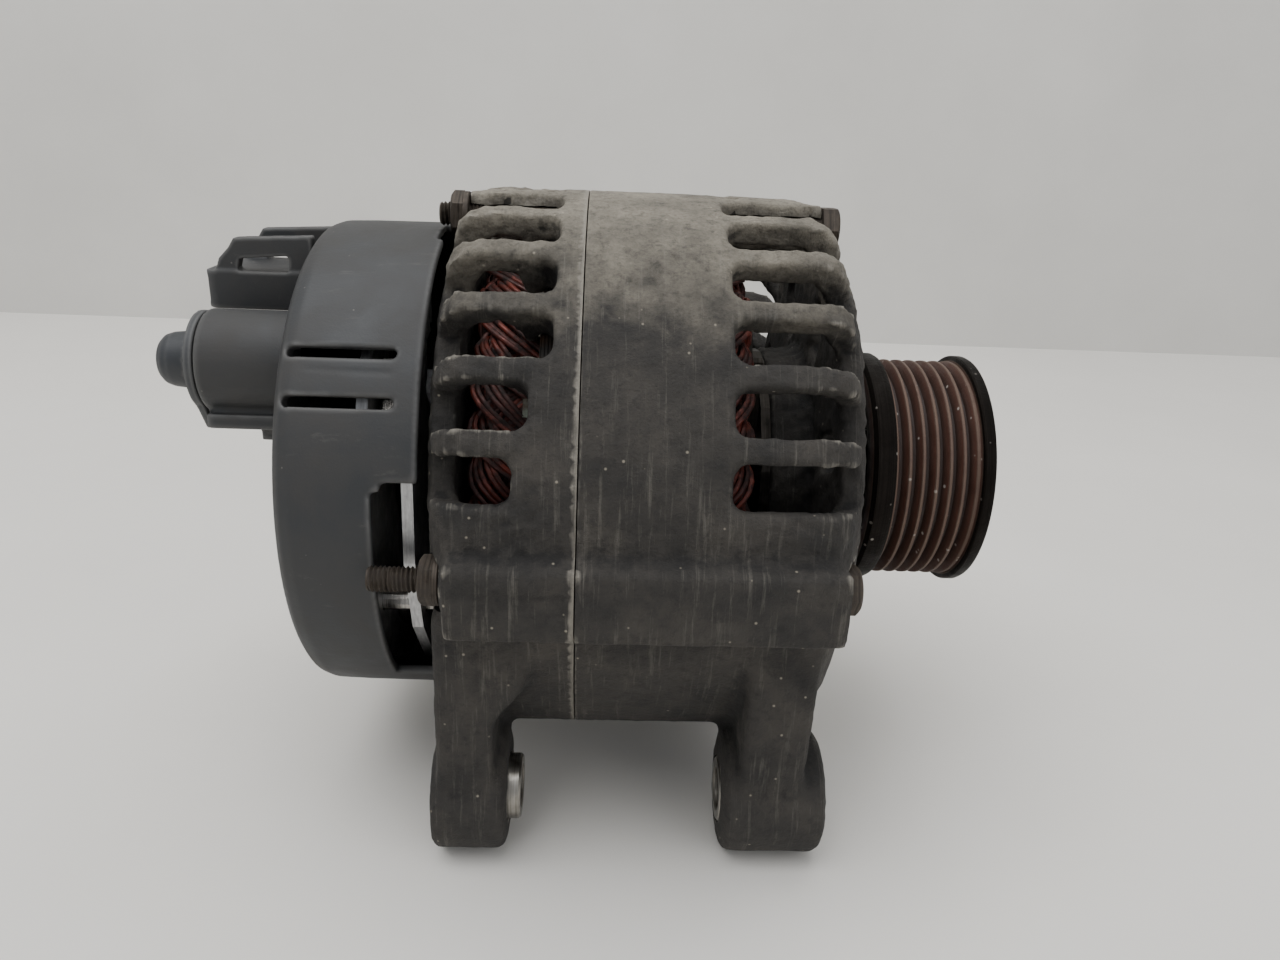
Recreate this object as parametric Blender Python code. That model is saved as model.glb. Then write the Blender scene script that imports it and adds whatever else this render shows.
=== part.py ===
"""Car alternator: a belt-driven claw-pole generator in two cast shells, standing on its mounting ears.

World frame: metres, +X along the rotor axis towards the pulley, +Z up, origin on the ground under the
middle of the whole. Dimensions below are in millimetres. A station is a place along the rotor axis,
counted from the middle of the stator core. A side angle is counted in degrees about the rotor axis,
from the side that carries the saddle (-Y) up over the top.
"""
import math

import bmesh
import bpy
from mathutils import Matrix, Vector

MM = 0.001
GAP = 0.3            # between pieces that touch on the real object
OVERLAP = 2.0        # how far joined shapes run into each other, and cutters past a wall

# ---- driving dimensions: the whole ----
BAND_R = 72.8        # outer radius of both cast shells
CORE_LEN = 34.0      # stator core
FACE_LEN = 40.5      # from the core's front end to the front plate's outer face
REAR_LEN = 24.0      # from the core's rear end to the rear plate's outer face
COVER_LEN = 32.5     # rear cover, rim to rear face

# ---- cast shells ----
SEAM_SHIFT = 7.3     # the shells meet this far behind the core's middle
PLATE = 6.5          # front and rear plate thickness
RIB_COUNT = 28
RIB_PHASE = 8.3      # side angle of a rib
WINDOW_WIDTH = 10.4
WINDOW_START = 8.8   # front windows begin this far past the core's front end
REAR_WINDOW_SHIFT = -3.6   # rear windows begin this far past the core's rear end
SOLID_SIDES = (171.0, 252.0)   # side angles without windows, over the far saddle and leg
LAST_WINDOW = 288.0  # no windows past here, beside the near leg
REAR_WINDOW_STEPS = ((20.0, 7.9), (34.0, 4.8))   # below a side angle, how much shorter they are
RIB_THICK = 6.4      # radial
SEAT_LIP = 3.0       # lip that the core stands against
PLATE_INSET = 13.0   # the end plates' radius is this much under the band's
VENT_COUNT = 8
VENT_IN = 37.0
VENT_OUT = 52.0
VENT_WIDTH = 9.0
REAR_VENT_IN = 29.0
REAR_VENT_OUT = 48.0

# ---- through bolts ----
BOLT_COUNT = 4
BOLT_ANGLE = -5.6
BOLT_R = 3.0
BOLT_CLEAR = 0.3     # bolt to its hole
BOLT_EDGE = 6.3      # bolt circle inside the band's radius
CORE_TO_BOLT = 1.9   # core's outside to the bolts' holes
BOSS_R = 5.9
BOSS_START = 1.8     # bosses begin this far past the core's seat
NUT_SINK = 4.3       # spot face in front of the rear plate's outer face
SPOT_CLEAR = 1.4     # washer to its spot face's wall
NUT_FLATS = 10.0
NUT_HIGH = 3.2
WASHER_THICK = 1.3
WASHER_R = 5.6
HEAD_HIGH = 4.2
HEAD_SINK = 6.0      # spot face behind the front plate's outer face
LONG_BOLT_END = 11.5   # thread past the nut of the bolt in the saddle
SHORT_BOLT_END = 3.0

# ---- saddle blocks, legs and ears ----
SADDLE_PROUD = 4.6   # saddle face outside the band's radius
SADDLE_TOP = 1.5
SADDLE_LOW = -16.5
FAR_SADDLE_TOP = 13.5
SADDLE_FRONT_BACK = 5.5   # saddle's front end behind the front plate's outer face
SADDLE_REAR_IN = 1.0      # saddle's rear end in front of the nut's seat
EAR_R = 15.0
EAR_OFFSET = 16.4    # ear axis outside the band's radius
EAR_ANGLE = -51.2
EAR_BORE_R = 8.3
BUSH_BOLT_R = 5.2
REAR_EAR = (-41.5, -23.3)
FRONT_EAR = (30.0, 55.0)
BUSH_PROUD = 3.2     # rear bush stands out of its ear into the gap
BUSH_THROW = 2.5     # how far it can be pushed back
LEG_FACE_IN = 2.0    # leg's outer face inside the ear's outermost line
LEG_DEEP = 30.0
REAR_LEG_TOP = 21.2  # width along the axis where the rear leg leaves the saddle
REAR_LEG_LOW = 13.5
REAR_LEG_KNEE = (-33.0, -43.0)   # heights where the rear leg narrows
FRONT_LEG_WIDE = 15.5
FRONT_LEG_IN = 3.0   # leg's rear face in front of the ear's
REAR_LEG_IN = 2.0
LEG_FLARE = 2.0      # front leg widens by this up to the saddle
FRONT_BUSH_SHIFT = 0.6

# ---- shaft and bearings ----
SHAFT_R = 10.0
SHAFT_REAR_R = 5.0
SHAFT_END_LEN = 36.5     # shaft past the front plate's outer face
FRONT_BEARING = {"bore": 8.5, "outer": 23.5, "wide": 14.0, "balls": 7, "ball": 3.5}
REAR_BEARING = {"bore": 7.5, "outer": 17.5, "wide": 11.0, "balls": 7, "ball": 2.6}
HUB_WALL = 9.0
HUB_CLEAR = 1.2      # front plate's hole to the collar's hub
REAR_HUB_WALL = 4.5
HUB_LIP = 2.2        # lip in front of the front bearing
RACE_FACETS = 18
REAR_HUB_PAST = 8.5  # rear hub stands out of the rear plate
RETAINER_THICK = 2.4
RETAINER_LAP = 5.0   # how far the retainer covers the outer race
CAGE_THICK = 1.6

# ---- rotor ----
AIR_GAP = 0.7
ROTOR_R = 45.6
POLE_PAIRS = 6
POLE_DISC = 11.0
POLE_PAST = 8.0      # pole face past the core's end
CLAW_ROOT = 7.6      # claw thickness at its root
CLAW_TIP = 2.2
CLAW_TIP_HALF = 5.0
CLAW_ROOT_HALF = 15.0
POLE_CORE_R = 22.0
BOBBIN_WALL = 1.2
COIL_IN = 24.0
COIL_OUT = 35.4
FAN_R = 44.0
FAN_THICK = 1.5
FAN_BLADES = 11
FAN_CLEAR = 1.0      # blades clear what they pass
FAN_BLADE_IN = 29.0
FAN_SWEEP = 22.0

# ---- stator ----
YOKE = 3.5
BAR_INSET = 3.0      # wires in the slots stand back from the bore
SLOT_COUNT = 36
SLOT_WIDTH = 4.6
HEAD_LEN = 16.5      # winding head past the core
HEAD_IN = 48.0

# ---- pulley ----
PULLEY_R = 30.4      # over the ribs
FLANGE_R = 32.0
GROOVES = 6
PITCH = 3.56
GROOVE_DEEP = 2.7
CREST = 0.7          # flat on each rib
PULLEY_FROM = 9.8    # pulley's inner face past the front plate's outer face
REAR_FLANGE = 6.2
FRONT_FLANGE = 4.3
PULLEY_RIM = 5.6     # rim thickness under the ribs
WEB = (7.0, 15.0)    # web, from the pulley's inner face
HUB_R = 14.0
SHAFT_NUT_FLATS = 24.0
SHAFT_NUT_HIGH = 9.0
SHAFT_WASHER = 1.8

# ---- slip rings and brushes ----
RING_R = 8.2
RING_WIDE = 4.4
RING_STEP = 6.0
RING_FIRST = 14.5    # first ring behind the rear plate's outer face
SLEEVE_R = 7.0
SLEEVE_CLEAR = 4.0   # rear plate's hole to the sleeve
SLEEVE_LAND = 2.0    # sleeve past the rings
RING_SEAT = 0.9      # depth of the rings' seats in the sleeve
BRUSH_WIDE = 3.4
BRUSH_DEEP = 5.0
BRUSH_LEN = 10.0
BRUSH_TRAVEL = 4.0
HOLDER_WALL = 2.0
HOLDER_TOP = 33.7
SPRING_WIRE = 0.45
SPRING_TURNS = 5

# ---- rear cover and what it holds ----
COVER_WALL = 2.2
COVER_ROUND = 4.0
COVER_CLEAR = 0.5    # cover inside the through bolts
RIM_BACK = 1.5       # rim behind the rear plate's outer face
CUT_DEEP = 10.2      # cut-out over the long bolt
CUT_ANGLES = (-46.0, 13.0)
SLOT_ANGLES = (28.9, 39.6)
COVER_SLOT_SPAN = 2.4    # degrees
COVER_SLOT_LAND = 5.6    # cover left whole next to the rim
COVER_VENTS = 9
COVER_VENT_STEP = 21.0   # degrees
COVER_VENT_IN = 17.0
COVER_VENT_OUT = 38.0
COVER_VENT_WIDTH = 3.6
PLATE_IN = 26.0
PLATE_EDGE = 3.5     # heat sinks inside the cover's wall
SINK_THICK = 2.6
SINK_ANGLES = (-200.0, 57.0)
NEG_SINK_BACK = 3.5  # behind the rear plate's outer face
POS_SINK_BACK = 14.0
DIODE_R = 6.4
DIODE_HIGH = 7.2
DIODE_CIRCLE = 42.0
NEG_DIODES = (30.0, -50.0, -130.0)
POS_DIODES = (0.0, -80.0, -160.0)
COVER_SCREW_ANGLES = (-28.0, -105.0, -182.0)
COVER_SCREW_CIRCLE = 50.0
COVER_SCREW_R = 2.4
COVER_SCREW_HEAD = 4.4
COVER_SCREW_HIGH = 3.2
SCREW_CLEAR = 0.4    # screw to its hole
SCREW_SINK = 4.0     # head's seat in front of the cover's rear face
WELL_WALL = 1.4
WELL_FLOOR = 2.2
REGULATOR = (15.0, 34.2, 53.0)    # half width, low and high
STUD_AT = (-27.0, 31.5)
STUD_R = 4.0
STUD_HEAD_R = 6.5
STUD_HEAD_HIGH = 3.0
STUD_SHORT = 4.0     # stud ends this far inside the tube's mouth
STUD_NUT_FLATS = 13.0
STUD_NUT_HIGH = 5.5
STUD_NUT_BACK = 5.0  # nut behind the cover's rear face
STUD_RELIEF_R = 9.0  # hole of the other heat sink round the stud
TUBE_R = 12.5
TUBE_WALL = 2.7
TUBE_LEN = 22.0
CAP_FLANGE = 2.0
CAP_NOSE_R = 6.8
CAP_NOSE_LEN = 10.0
CAP_TAIL = 18.0
CAP_SPIGOT = 7.0     # how far the cap reaches into the tube
CAP_WALL = 1.8
LEDGE_BELOW = 1.6    # ledge under the tube
CAP_PULL = 20.0
SOCKET = {"low": 41.5, "high": 51.0, "near": -14.0, "far": 12.0, "long": 27.0, "wall": 1.6}
NECK = {"low": 43.5, "high": 49.0, "near": -10.0, "far": 8.0}
SOCKET_FLOOR = 4.0   # socket's floor behind the cover
GUARD_TOP = 60.0
GUARD_THICK = 3.5
PINS = 3
PIN_LEN = 13.0
PIN_WIDE = 2.8
PIN_THICK = 1.0

# ---- worked out ----
core_end = CORE_LEN / 2
face_x = core_end + FACE_LEN
rear_x = -core_end - REAR_LEN
seam_x = -SEAM_SHIFT
bolt_circle = BAND_R - BOLT_EDGE
bolt_hole_r = BOLT_R + BOLT_CLEAR
core_r = bolt_circle - bolt_hole_r - CORE_TO_BOLT
seat_x = core_end + GAP
plate_r = BAND_R - PLATE_INSET
inner_r = BAND_R - RIB_THICK
ear_circle = BAND_R + EAR_OFFSET
saddle_y = BAND_R + SADDLE_PROUD
rotor_bore = ROTOR_R + AIR_GAP
head_out = core_r - SEAT_LIP - GAP
pole_face = core_end + POLE_PAST
rim_x = rear_x - RIM_BACK
cover_x = rim_x - COVER_LEN
cover_r = bolt_circle - BOLT_R - COVER_CLEAR
tube_x = cover_x - TUBE_LEN
nose_x = tube_x - GAP - CAP_FLANGE - CAP_NOSE_LEN
pulley_x = face_x + PULLEY_FROM
pulley_len = REAR_FLANGE + GROOVES * PITCH + FRONT_FLANGE
bearing_x = face_x - HUB_LIP - GAP - FRONT_BEARING["wide"] / 2
rear_bearing_x = rear_x - REAR_HUB_PAST + HUB_LIP / 2 + REAR_BEARING["wide"] / 2
hub_back = bearing_x - FRONT_BEARING["wide"] / 2 - GAP
head_seat = face_x - HEAD_SINK
nut_seat = rear_x + NUT_SINK


def side(angle, radius):
    """Y and Z of a point at a side angle and radius about the rotor axis."""
    turn = math.radians(angle)
    return -radius * math.cos(turn), radius * math.sin(turn)


def ear_at(sign):
    """Y and Z of an ear's axis; sign -1 is the saddle side, +1 the far side."""
    y, z = side(EAR_ANGLE, ear_circle)
    return -sign * y, z


def around(radius, facets):
    """Corner radius of a many-sided bore whose flats clear a circle of the given radius."""
    return radius / math.cos(math.pi / facets)


seat_r = around(core_r + GAP, RIB_COUNT)
lip_r = around(core_r - SEAT_LIP, RIB_COUNT)


# ---- shapes, each added to a bmesh in millimetres ----
def faces_from(bm, points, faces):
    """Adds points and the faces between them."""
    verts = [bm.verts.new(point) for point in points]
    for face in faces:
        bm.faces.new([verts[index] for index in face])
    return bm


def lathe(bm, profile, segments, centre=(0.0, 0.0), turn=0.0):
    """Turns a closed (station, radius) outline about a line along X; radius 0 becomes a pole."""
    rings = []
    for x, radius in profile:
        if radius == 0:
            rings.append([bm.verts.new((x, centre[0], centre[1]))] * segments)
            continue
        ring = []
        for step in range(segments):
            angle = math.tau * step / segments + turn
            offset = (radius * math.cos(angle), radius * math.sin(angle))
            ring.append(bm.verts.new((x, centre[0] + offset[0], centre[1] + offset[1])))
        rings.append(ring)
    count = len(rings)
    for index in range(count):
        this, after = rings[index], rings[(index + 1) % count]
        for step in range(segments):
            near = (step + 1) % segments
            corners = [this[step], this[near], after[near], after[step]]
            corners = list(dict.fromkeys(corners))
            if len(corners) > 2:
                bm.faces.new(corners)
    return bm


def rod(bm, low, high, radius, segments=16, centre=(0.0, 0.0), turn=0.0):
    """A solid round or many-sided bar along X."""
    return lathe(bm, [(low, 0), (high, 0), (high, radius), (low, radius)], segments, centre, turn)


def tube(bm, low, high, inner, outer, segments=24, centre=(0.0, 0.0), turn=0.0):
    """A hollow bar along X."""
    profile = [(low, inner), (high, inner), (high, outer), (low, outer)]
    return lathe(bm, profile, segments, centre, turn)


def hex_nut(bm, low, high, bore, flats, turn=0.0):
    """A hexagonal nut along X; its bore is a hexagon clear of the thread."""
    return tube(bm, low, high, around(bore, 6), around(flats / 2, 6), 6, turn=turn)


def prism(bm, outline, axis, low, high):
    """Extrudes an outline, given in the other two axes' order, along axis X, Y or Z."""
    def place(point, level):
        spot = list(point)
        spot.insert("XYZ".index(axis), level)
        return spot
    count = len(outline)
    points = [place(point, low) for point in outline] + [place(point, high) for point in outline]
    faces = [list(range(count)), list(range(count, 2 * count))]
    faces += [[i, (i + 1) % count, count + (i + 1) % count, count + i] for i in range(count)]
    return faces_from(bm, points, faces)


def block(bm, x, y, z):
    """A box from three (low, high) pairs."""
    outline = [(x[0], y[0]), (x[1], y[0]), (x[1], y[1]), (x[0], y[1])]
    return prism(bm, outline, "Z", z[0], z[1])


def sector(bm, x, radii, angles, steps):
    """A part of a ring, between two stations, two radii and two side angles."""
    points = []
    for step in range(steps + 1):
        angle = angles[0] + (angles[1] - angles[0]) * step / steps
        for station, radius in ((x[0], radii[0]), (x[1], radii[0]), (x[1], radii[1]), (x[0], radii[1])):
            points.append((station, *side(angle, radius)))
    faces = [[0, 1, 2, 3], [4 * steps + corner for corner in range(4)]]
    for step in range(steps):
        for corner in range(4):
            here, after = 4 * step + corner, 4 * step + (corner + 1) % 4
            faces.append([here, after, after + 4, here + 4])
    return faces_from(bm, points, faces)


def radial(bm, outline, width, angle):
    """Extrudes a (station, radius) outline across a width and turns it to a side angle."""
    y_axis = Vector((0, *side(angle, 1.0)))
    across = Vector((0, *side(angle + 90, 1.0)))
    points = []
    for half in (-width / 2, width / 2):
        points += [Vector((x, 0, 0)) + y_axis * radius + across * half for x, radius in outline]
    count = len(outline)
    faces = [list(range(count)), list(range(count, 2 * count))]
    faces += [[i, (i + 1) % count, count + (i + 1) % count, count + i] for i in range(count)]
    return faces_from(bm, points, faces)


def shape(*builders):
    """A new bmesh holding what each builder adds."""
    bm = bmesh.new()
    for builder in builders:
        builder(bm)
    bmesh.ops.recalc_face_normals(bm, faces=bm.faces[:])
    return bm


# ---- objects ----
def clear_scene():
    """Empties the scene."""
    for obj in list(bpy.data.objects):
        bpy.data.objects.remove(obj, do_unlink=True)
    for mesh in list(bpy.data.meshes):
        bpy.data.meshes.remove(mesh)


def mesh_object(name, bm, location=(0, 0, 0), parent=None):
    """Turns a bmesh in millimetres into an object in metres."""
    mesh = bpy.data.meshes.new(name)
    bmesh.ops.scale(bm, vec=(MM, MM, MM), verts=bm.verts[:])
    bm.to_mesh(mesh)
    bm.free()
    return link_object(name, mesh, location, parent)


def link_object(name, mesh, location, parent):
    """Links an object at a location in millimetres under its parent."""
    obj = bpy.data.objects.new(name, mesh)
    obj.location = Vector(location) * MM
    obj.parent = parent
    bpy.context.scene.collection.objects.link(obj)
    return obj


def empty(name, location, parent=None):
    """A guide that others are placed from."""
    return link_object(name, None, location, parent)


def change(obj, operation, *builders):
    """Adds a Boolean that joins or cuts what the builders make."""
    cutter = mesh_object(f"{obj.name}_{operation.lower()}_{len(obj.modifiers)}", shape(*builders),
                         parent=obj.parent)
    cutter.hide_render = True
    cutter.display_type = "WIRE"
    step = obj.modifiers.new(cutter.name, "BOOLEAN")
    step.operation = operation
    step.solver = "EXACT"
    step.object = cutter
    return obj


def finish(obj, colour, roughness, metallic, smooth=35.0):
    """Gives an object its own material and shading."""
    material = bpy.data.materials.new(obj.name)
    material.use_nodes = True
    surface = material.node_tree.nodes["Principled BSDF"]
    surface.inputs["Base Color"].default_value = (*colour, 1.0)
    surface.inputs["Roughness"].default_value = roughness
    surface.inputs["Metallic"].default_value = metallic
    if not obj.data.materials:
        obj.data.materials.append(material)
    obj.material_slots[0].link = "OBJECT"
    obj.material_slots[0].material = material
    obj.data.shade_smooth()
    obj.data.set_sharp_from_angle(angle=math.radians(smooth))
    return obj


GRIMY_ALUMINIUM = ((0.10, 0.095, 0.085), 0.75, 0.4)
BLACK_PLASTIC = ((0.045, 0.048, 0.052), 0.55, 0.0)
STEEL = ((0.45, 0.44, 0.42), 0.35, 1.0)
DARK_STEEL = ((0.09, 0.085, 0.08), 0.45, 0.9)
RUSTY_STEEL = ((0.16, 0.075, 0.045), 0.7, 0.6)
COPPER = ((0.45, 0.16, 0.07), 0.45, 0.7)
LAMINATION = ((0.20, 0.19, 0.18), 0.5, 0.9)
CARBON = ((0.03, 0.03, 0.032), 0.6, 0.1)
BARE_ALUMINIUM = ((0.60, 0.60, 0.61), 0.4, 0.9)


# ---- cast shells ----
def windows(bm, near, far, bottom):
    """Window cutters between the ribs; near and far are the stations of each window's ends."""
    for index in range(RIB_COUNT):
        angle = RIB_PHASE + (index + 0.5) * 360 / RIB_COUNT
        if SOLID_SIDES[0] < angle < SOLID_SIDES[1] or angle > LAST_WINDOW:
            continue
        start = near(angle)
        corner = plate_r + GAP
        past = math.copysign(PLATE + OVERLAP, far)
        outline = [(start, core_r - SEAT_LIP - OVERLAP), (far, core_r - SEAT_LIP - OVERLAP),
                   (far, corner), (far + past, corner), (far + past, BAND_R + OVERLAP),
                   (start, BAND_R + OVERLAP)]
        radial(bm, outline, bottom, angle)


def saddles(bm, low, high):
    """The block over each side bolt, flat on its outer face."""
    deep = saddle_y - bolt_circle + BOSS_R
    block(bm, (low, high), (-saddle_y, -saddle_y + deep), (SADDLE_LOW, SADDLE_TOP))
    block(bm, (low, high), (saddle_y - deep, saddle_y), (SADDLE_LOW, FAR_SADDLE_TOP))


def legs(bm, outline):
    """The web from each saddle down to its ear."""
    for sign in (-1, 1):
        outer = abs(ear_at(sign)[0]) + EAR_R - LEG_FACE_IN
        prism(bm, outline, "Y", *sorted((sign * outer, sign * (outer - LEG_DEEP))))


def ears(bm, span):
    """The round ends that the mounting bolts pass through."""
    for sign in (-1, 1):
        rod(bm, span[0], span[1], EAR_R, 24, ear_at(sign))


def ear_bores(bm, span):
    """Cutters for the ears' bores: bushed on the saddle side, plain on the far side."""
    for sign, radius in ((-1, EAR_BORE_R), (1, BUSH_BOLT_R)):
        rod(bm, span[0] - OVERLAP, span[1] + OVERLAP, radius, 16, ear_at(sign))


def shell(bm, profile):
    """Turns a shell's outline with one facet to each window, its corners on the ribs."""
    return lathe(bm, profile, RIB_COUNT, turn=math.radians(180 - RIB_PHASE))


def at_bolts(bm, low, high, radius, segments=10):
    """A round bar at each through bolt."""
    for index in range(BOLT_COUNT):
        angle = BOLT_ANGLE + index * 360 / BOLT_COUNT
        rod(bm, low, high, radius, segments, side(angle, bolt_circle))


def vents(bm, low, high, inner, outer):
    """Slots in an end plate."""
    for index in range(VENT_COUNT):
        angle = (index + 0.5) * 360 / VENT_COUNT
        outline = [(low, inner), (high, inner), (high, outer), (low, outer)]
        radial(bm, outline, VENT_WIDTH, angle)


def trim(bm, low, high):
    """A slab that cuts a shell square at its seam."""
    wide = BAND_R + EAR_OFFSET + 2 * EAR_R
    block(bm, (low, high), (-wide, wide), (-wide, wide))


def front_housing(axis):
    """Drive-end shell: band, ribs, front plate, bearing hub, saddles, legs and ears."""
    outer = [(seam_x - OVERLAP, 0), (seam_x - OVERLAP, BAND_R), (face_x - 10.5, BAND_R),
             (face_x - 5.0, BAND_R - 3.0), (face_x - 2.3, plate_r + 2.0), (face_x, plate_r - 1.0),
             (face_x, 0)]
    hub_r = FRONT_BEARING["outer"] + HUB_WALL
    bearing_r = FRONT_BEARING["outer"] + GAP
    wall_x = face_x - PLATE
    inner = [(seam_x - 2 * OVERLAP, 0), (seam_x - 2 * OVERLAP, seat_r), (seat_x, seat_r),
             (seat_x, lip_r), (seat_x + SEAT_LIP, lip_r),
             (seat_x + 2 * SEAT_LIP, inner_r), (face_x - 11.5, inner_r), (wall_x, plate_r - 2.0),
             (wall_x, hub_r), (hub_back, hub_r), (hub_back, bearing_r), (face_x - HUB_LIP, bearing_r),
             (face_x - HUB_LIP, HUB_R + HUB_CLEAR), (face_x + OVERLAP, HUB_R + HUB_CLEAR),
             (face_x + OVERLAP, 0)]
    leg_x = (FRONT_EAR[0] + FRONT_LEG_IN, FRONT_EAR[0] + FRONT_LEG_IN + FRONT_LEG_WIDE)
    ear_z = ear_at(1)[1]
    leg = [(leg_x[0], ear_z), (leg_x[1], ear_z), (leg_x[1] + LEG_FLARE, SADDLE_LOW + OVERLAP),
           (leg_x[0], SADDLE_LOW + OVERLAP)]
    boss_end = face_x - SADDLE_FRONT_BACK
    obj = mesh_object("front_housing", shape(lambda bm: shell(bm, outer)), parent=axis)
    change(obj, "UNION", lambda bm: saddles(bm, seam_x - OVERLAP, boss_end))
    change(obj, "UNION", lambda bm: legs(bm, leg))
    change(obj, "UNION", lambda bm: ears(bm, FRONT_EAR))
    change(obj, "DIFFERENCE", lambda bm: shell(bm, inner))
    start = core_end + WINDOW_START
    change(obj, "DIFFERENCE", lambda bm: windows(bm, lambda angle: start, wall_x, WINDOW_WIDTH))
    change(obj, "UNION", lambda bm: at_bolts(bm, seat_x + BOSS_START, wall_x + OVERLAP, BOSS_R))
    change(obj, "DIFFERENCE",
           lambda bm: at_bolts(bm, seam_x - 2 * OVERLAP, head_seat + OVERLAP, bolt_hole_r, 8),
           lambda bm: ear_bores(bm, FRONT_EAR),
           lambda bm: vents(bm, wall_x - OVERLAP, face_x + OVERLAP, VENT_IN, VENT_OUT))
    change(obj, "DIFFERENCE", lambda bm: at_bolts(bm, head_seat, face_x + OVERLAP, WASHER_R + SPOT_CLEAR))
    change(obj, "DIFFERENCE", lambda bm: trim(bm, seam_x - 3 * OVERLAP, seam_x + GAP / 2))
    return finish(obj, *GRIMY_ALUMINIUM)


def rear_window_start(angle):
    """Stations where the rear windows begin: they grow shorter down to the saddle."""
    start = -core_end - REAR_WINDOW_SHIFT
    for below, less in REAR_WINDOW_STEPS:
        if angle < below:
            return start - less
    return start


def rear_housing(axis):
    """Rear shell: band, ribs, rear plate, bearing hub, saddles, legs and ears."""
    outer = [(seam_x + OVERLAP, 0), (seam_x + OVERLAP, BAND_R), (rear_x + 9.0, BAND_R),
             (rear_x + 3.6, BAND_R - 2.4), (rear_x + 1.2, plate_r + 2.0), (rear_x, plate_r - 1.5),
             (rear_x, 0)]
    hub_r = REAR_BEARING["outer"] + REAR_HUB_WALL
    bearing_r = REAR_BEARING["outer"] + GAP
    wall_x = rear_x + PLATE
    lip = rear_x - REAR_HUB_PAST + HUB_LIP / 2 - GAP
    inner = [(seam_x + 2 * OVERLAP, 0), (seam_x + 2 * OVERLAP, seat_r), (-seat_x, seat_r),
             (-seat_x, lip_r), (-seat_x - SEAT_LIP, lip_r),
             (-seat_x - 2 * SEAT_LIP, inner_r), (rear_x + 10.5, inner_r), (wall_x, plate_r - 2.0),
             (wall_x, bearing_r), (lip, bearing_r), (lip, SLEEVE_R + SLEEVE_CLEAR),
             (rear_x - REAR_HUB_PAST - OVERLAP, SLEEVE_R + SLEEVE_CLEAR),
             (rear_x - REAR_HUB_PAST - OVERLAP, 0)]
    top = REAR_EAR[0] + REAR_LEG_IN
    ear_z = ear_at(1)[1]
    leg = [(top, SADDLE_LOW + OVERLAP), (top + REAR_LEG_TOP, SADDLE_LOW + OVERLAP),
           (top + REAR_LEG_TOP, REAR_LEG_KNEE[0]), (top + REAR_LEG_LOW, REAR_LEG_KNEE[1]),
           (top + REAR_LEG_LOW, ear_z), (top, ear_z)]
    obj = mesh_object("rear_housing", shape(lambda bm: shell(bm, outer)), parent=axis)
    change(obj, "UNION", lambda bm: saddles(bm, nut_seat + SADDLE_REAR_IN, seam_x + OVERLAP))
    change(obj, "UNION", lambda bm: legs(bm, leg))
    change(obj, "UNION", lambda bm: ears(bm, REAR_EAR))
    change(obj, "UNION", lambda bm: rod(bm, rear_x - REAR_HUB_PAST, wall_x, hub_r, 20))
    change(obj, "DIFFERENCE", lambda bm: shell(bm, inner))
    change(obj, "DIFFERENCE", lambda bm: windows(bm, rear_window_start, wall_x, WINDOW_WIDTH))
    change(obj, "UNION", lambda bm: at_bolts(bm, nut_seat - GAP, -seat_x - BOSS_START, BOSS_R))
    change(obj, "DIFFERENCE",
           lambda bm: at_bolts(bm, nut_seat - OVERLAP, seam_x + 2 * OVERLAP, bolt_hole_r, 8),
           lambda bm: ear_bores(bm, REAR_EAR),
           lambda bm: vents(bm, rear_x - OVERLAP, wall_x + OVERLAP, REAR_VENT_IN, REAR_VENT_OUT))
    change(obj, "DIFFERENCE", lambda bm: at_bolts(bm, rear_x - OVERLAP, nut_seat, WASHER_R + SPOT_CLEAR))
    change(obj, "DIFFERENCE", lambda bm: trim(bm, seam_x - GAP / 2, seam_x + 3 * OVERLAP))
    return finish(obj, *GRIMY_ALUMINIUM)


# ---- stator ----
def stator_core(axis):
    """Laminated ring with its winding slots open to the bore."""
    pitch = 360 / SLOT_COUNT
    bottom = core_r - YOKE
    bm = bmesh.new()
    for index in range(SLOT_COUNT):
        middle = index * pitch

        def spot(radius, half):
            angle = middle + math.degrees(math.asin(half / radius))
            return (-core_end, *side(angle, radius))
        half = SLOT_WIDTH / 2
        path = [spot(rotor_bore, -half), spot(bottom, -half), spot(bottom, half), spot(rotor_bore, half)]
        path.append((-core_end, *side(middle + pitch / 2, rotor_bore)))
        path += [(-core_end, *side(middle + part * pitch, core_r)) for part in (0.5, -0.5)]
        path.append((-core_end, *side(middle - pitch / 2, rotor_bore)))
        bm.faces.new([bm.verts.new(point) for point in path])
    bmesh.ops.remove_doubles(bm, verts=bm.verts[:], dist=0.001)
    front = bmesh.ops.extrude_face_region(bm, geom=bm.faces[:])["geom"]
    moved = [item for item in front if isinstance(item, bmesh.types.BMVert)]
    bmesh.ops.translate(bm, vec=(CORE_LEN, 0, 0), verts=moved)
    bmesh.ops.recalc_face_normals(bm, faces=bm.faces[:])
    return finish(mesh_object("stator_core", bm, parent=axis), *LAMINATION)


def winding_head(bm, start, sign):
    """One winding head: a rounded ring past the end of the core."""
    far = start + sign * HEAD_LEN
    mid = (HEAD_IN + head_out) / 2
    profile = [(start, HEAD_IN + 1.0), (far - sign * 3, HEAD_IN), (far, mid), (far - sign * 3, head_out),
               (start, head_out)]
    lathe(bm, profile, SLOT_COUNT, turn=math.pi / SLOT_COUNT)


def slot_bars(bm):
    """The wires in the slots, joined to both heads."""
    reach = core_end + GAP + OVERLAP
    low = rotor_bore + BAR_INSET + GAP
    high = core_r - YOKE - GAP
    for index in range(SLOT_COUNT):
        outline = [(-reach, low), (reach, low), (reach, high), (-reach, high)]
        radial(bm, outline, SLOT_WIDTH - 2 * GAP - 0.2, index * 360 / SLOT_COUNT)


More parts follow.
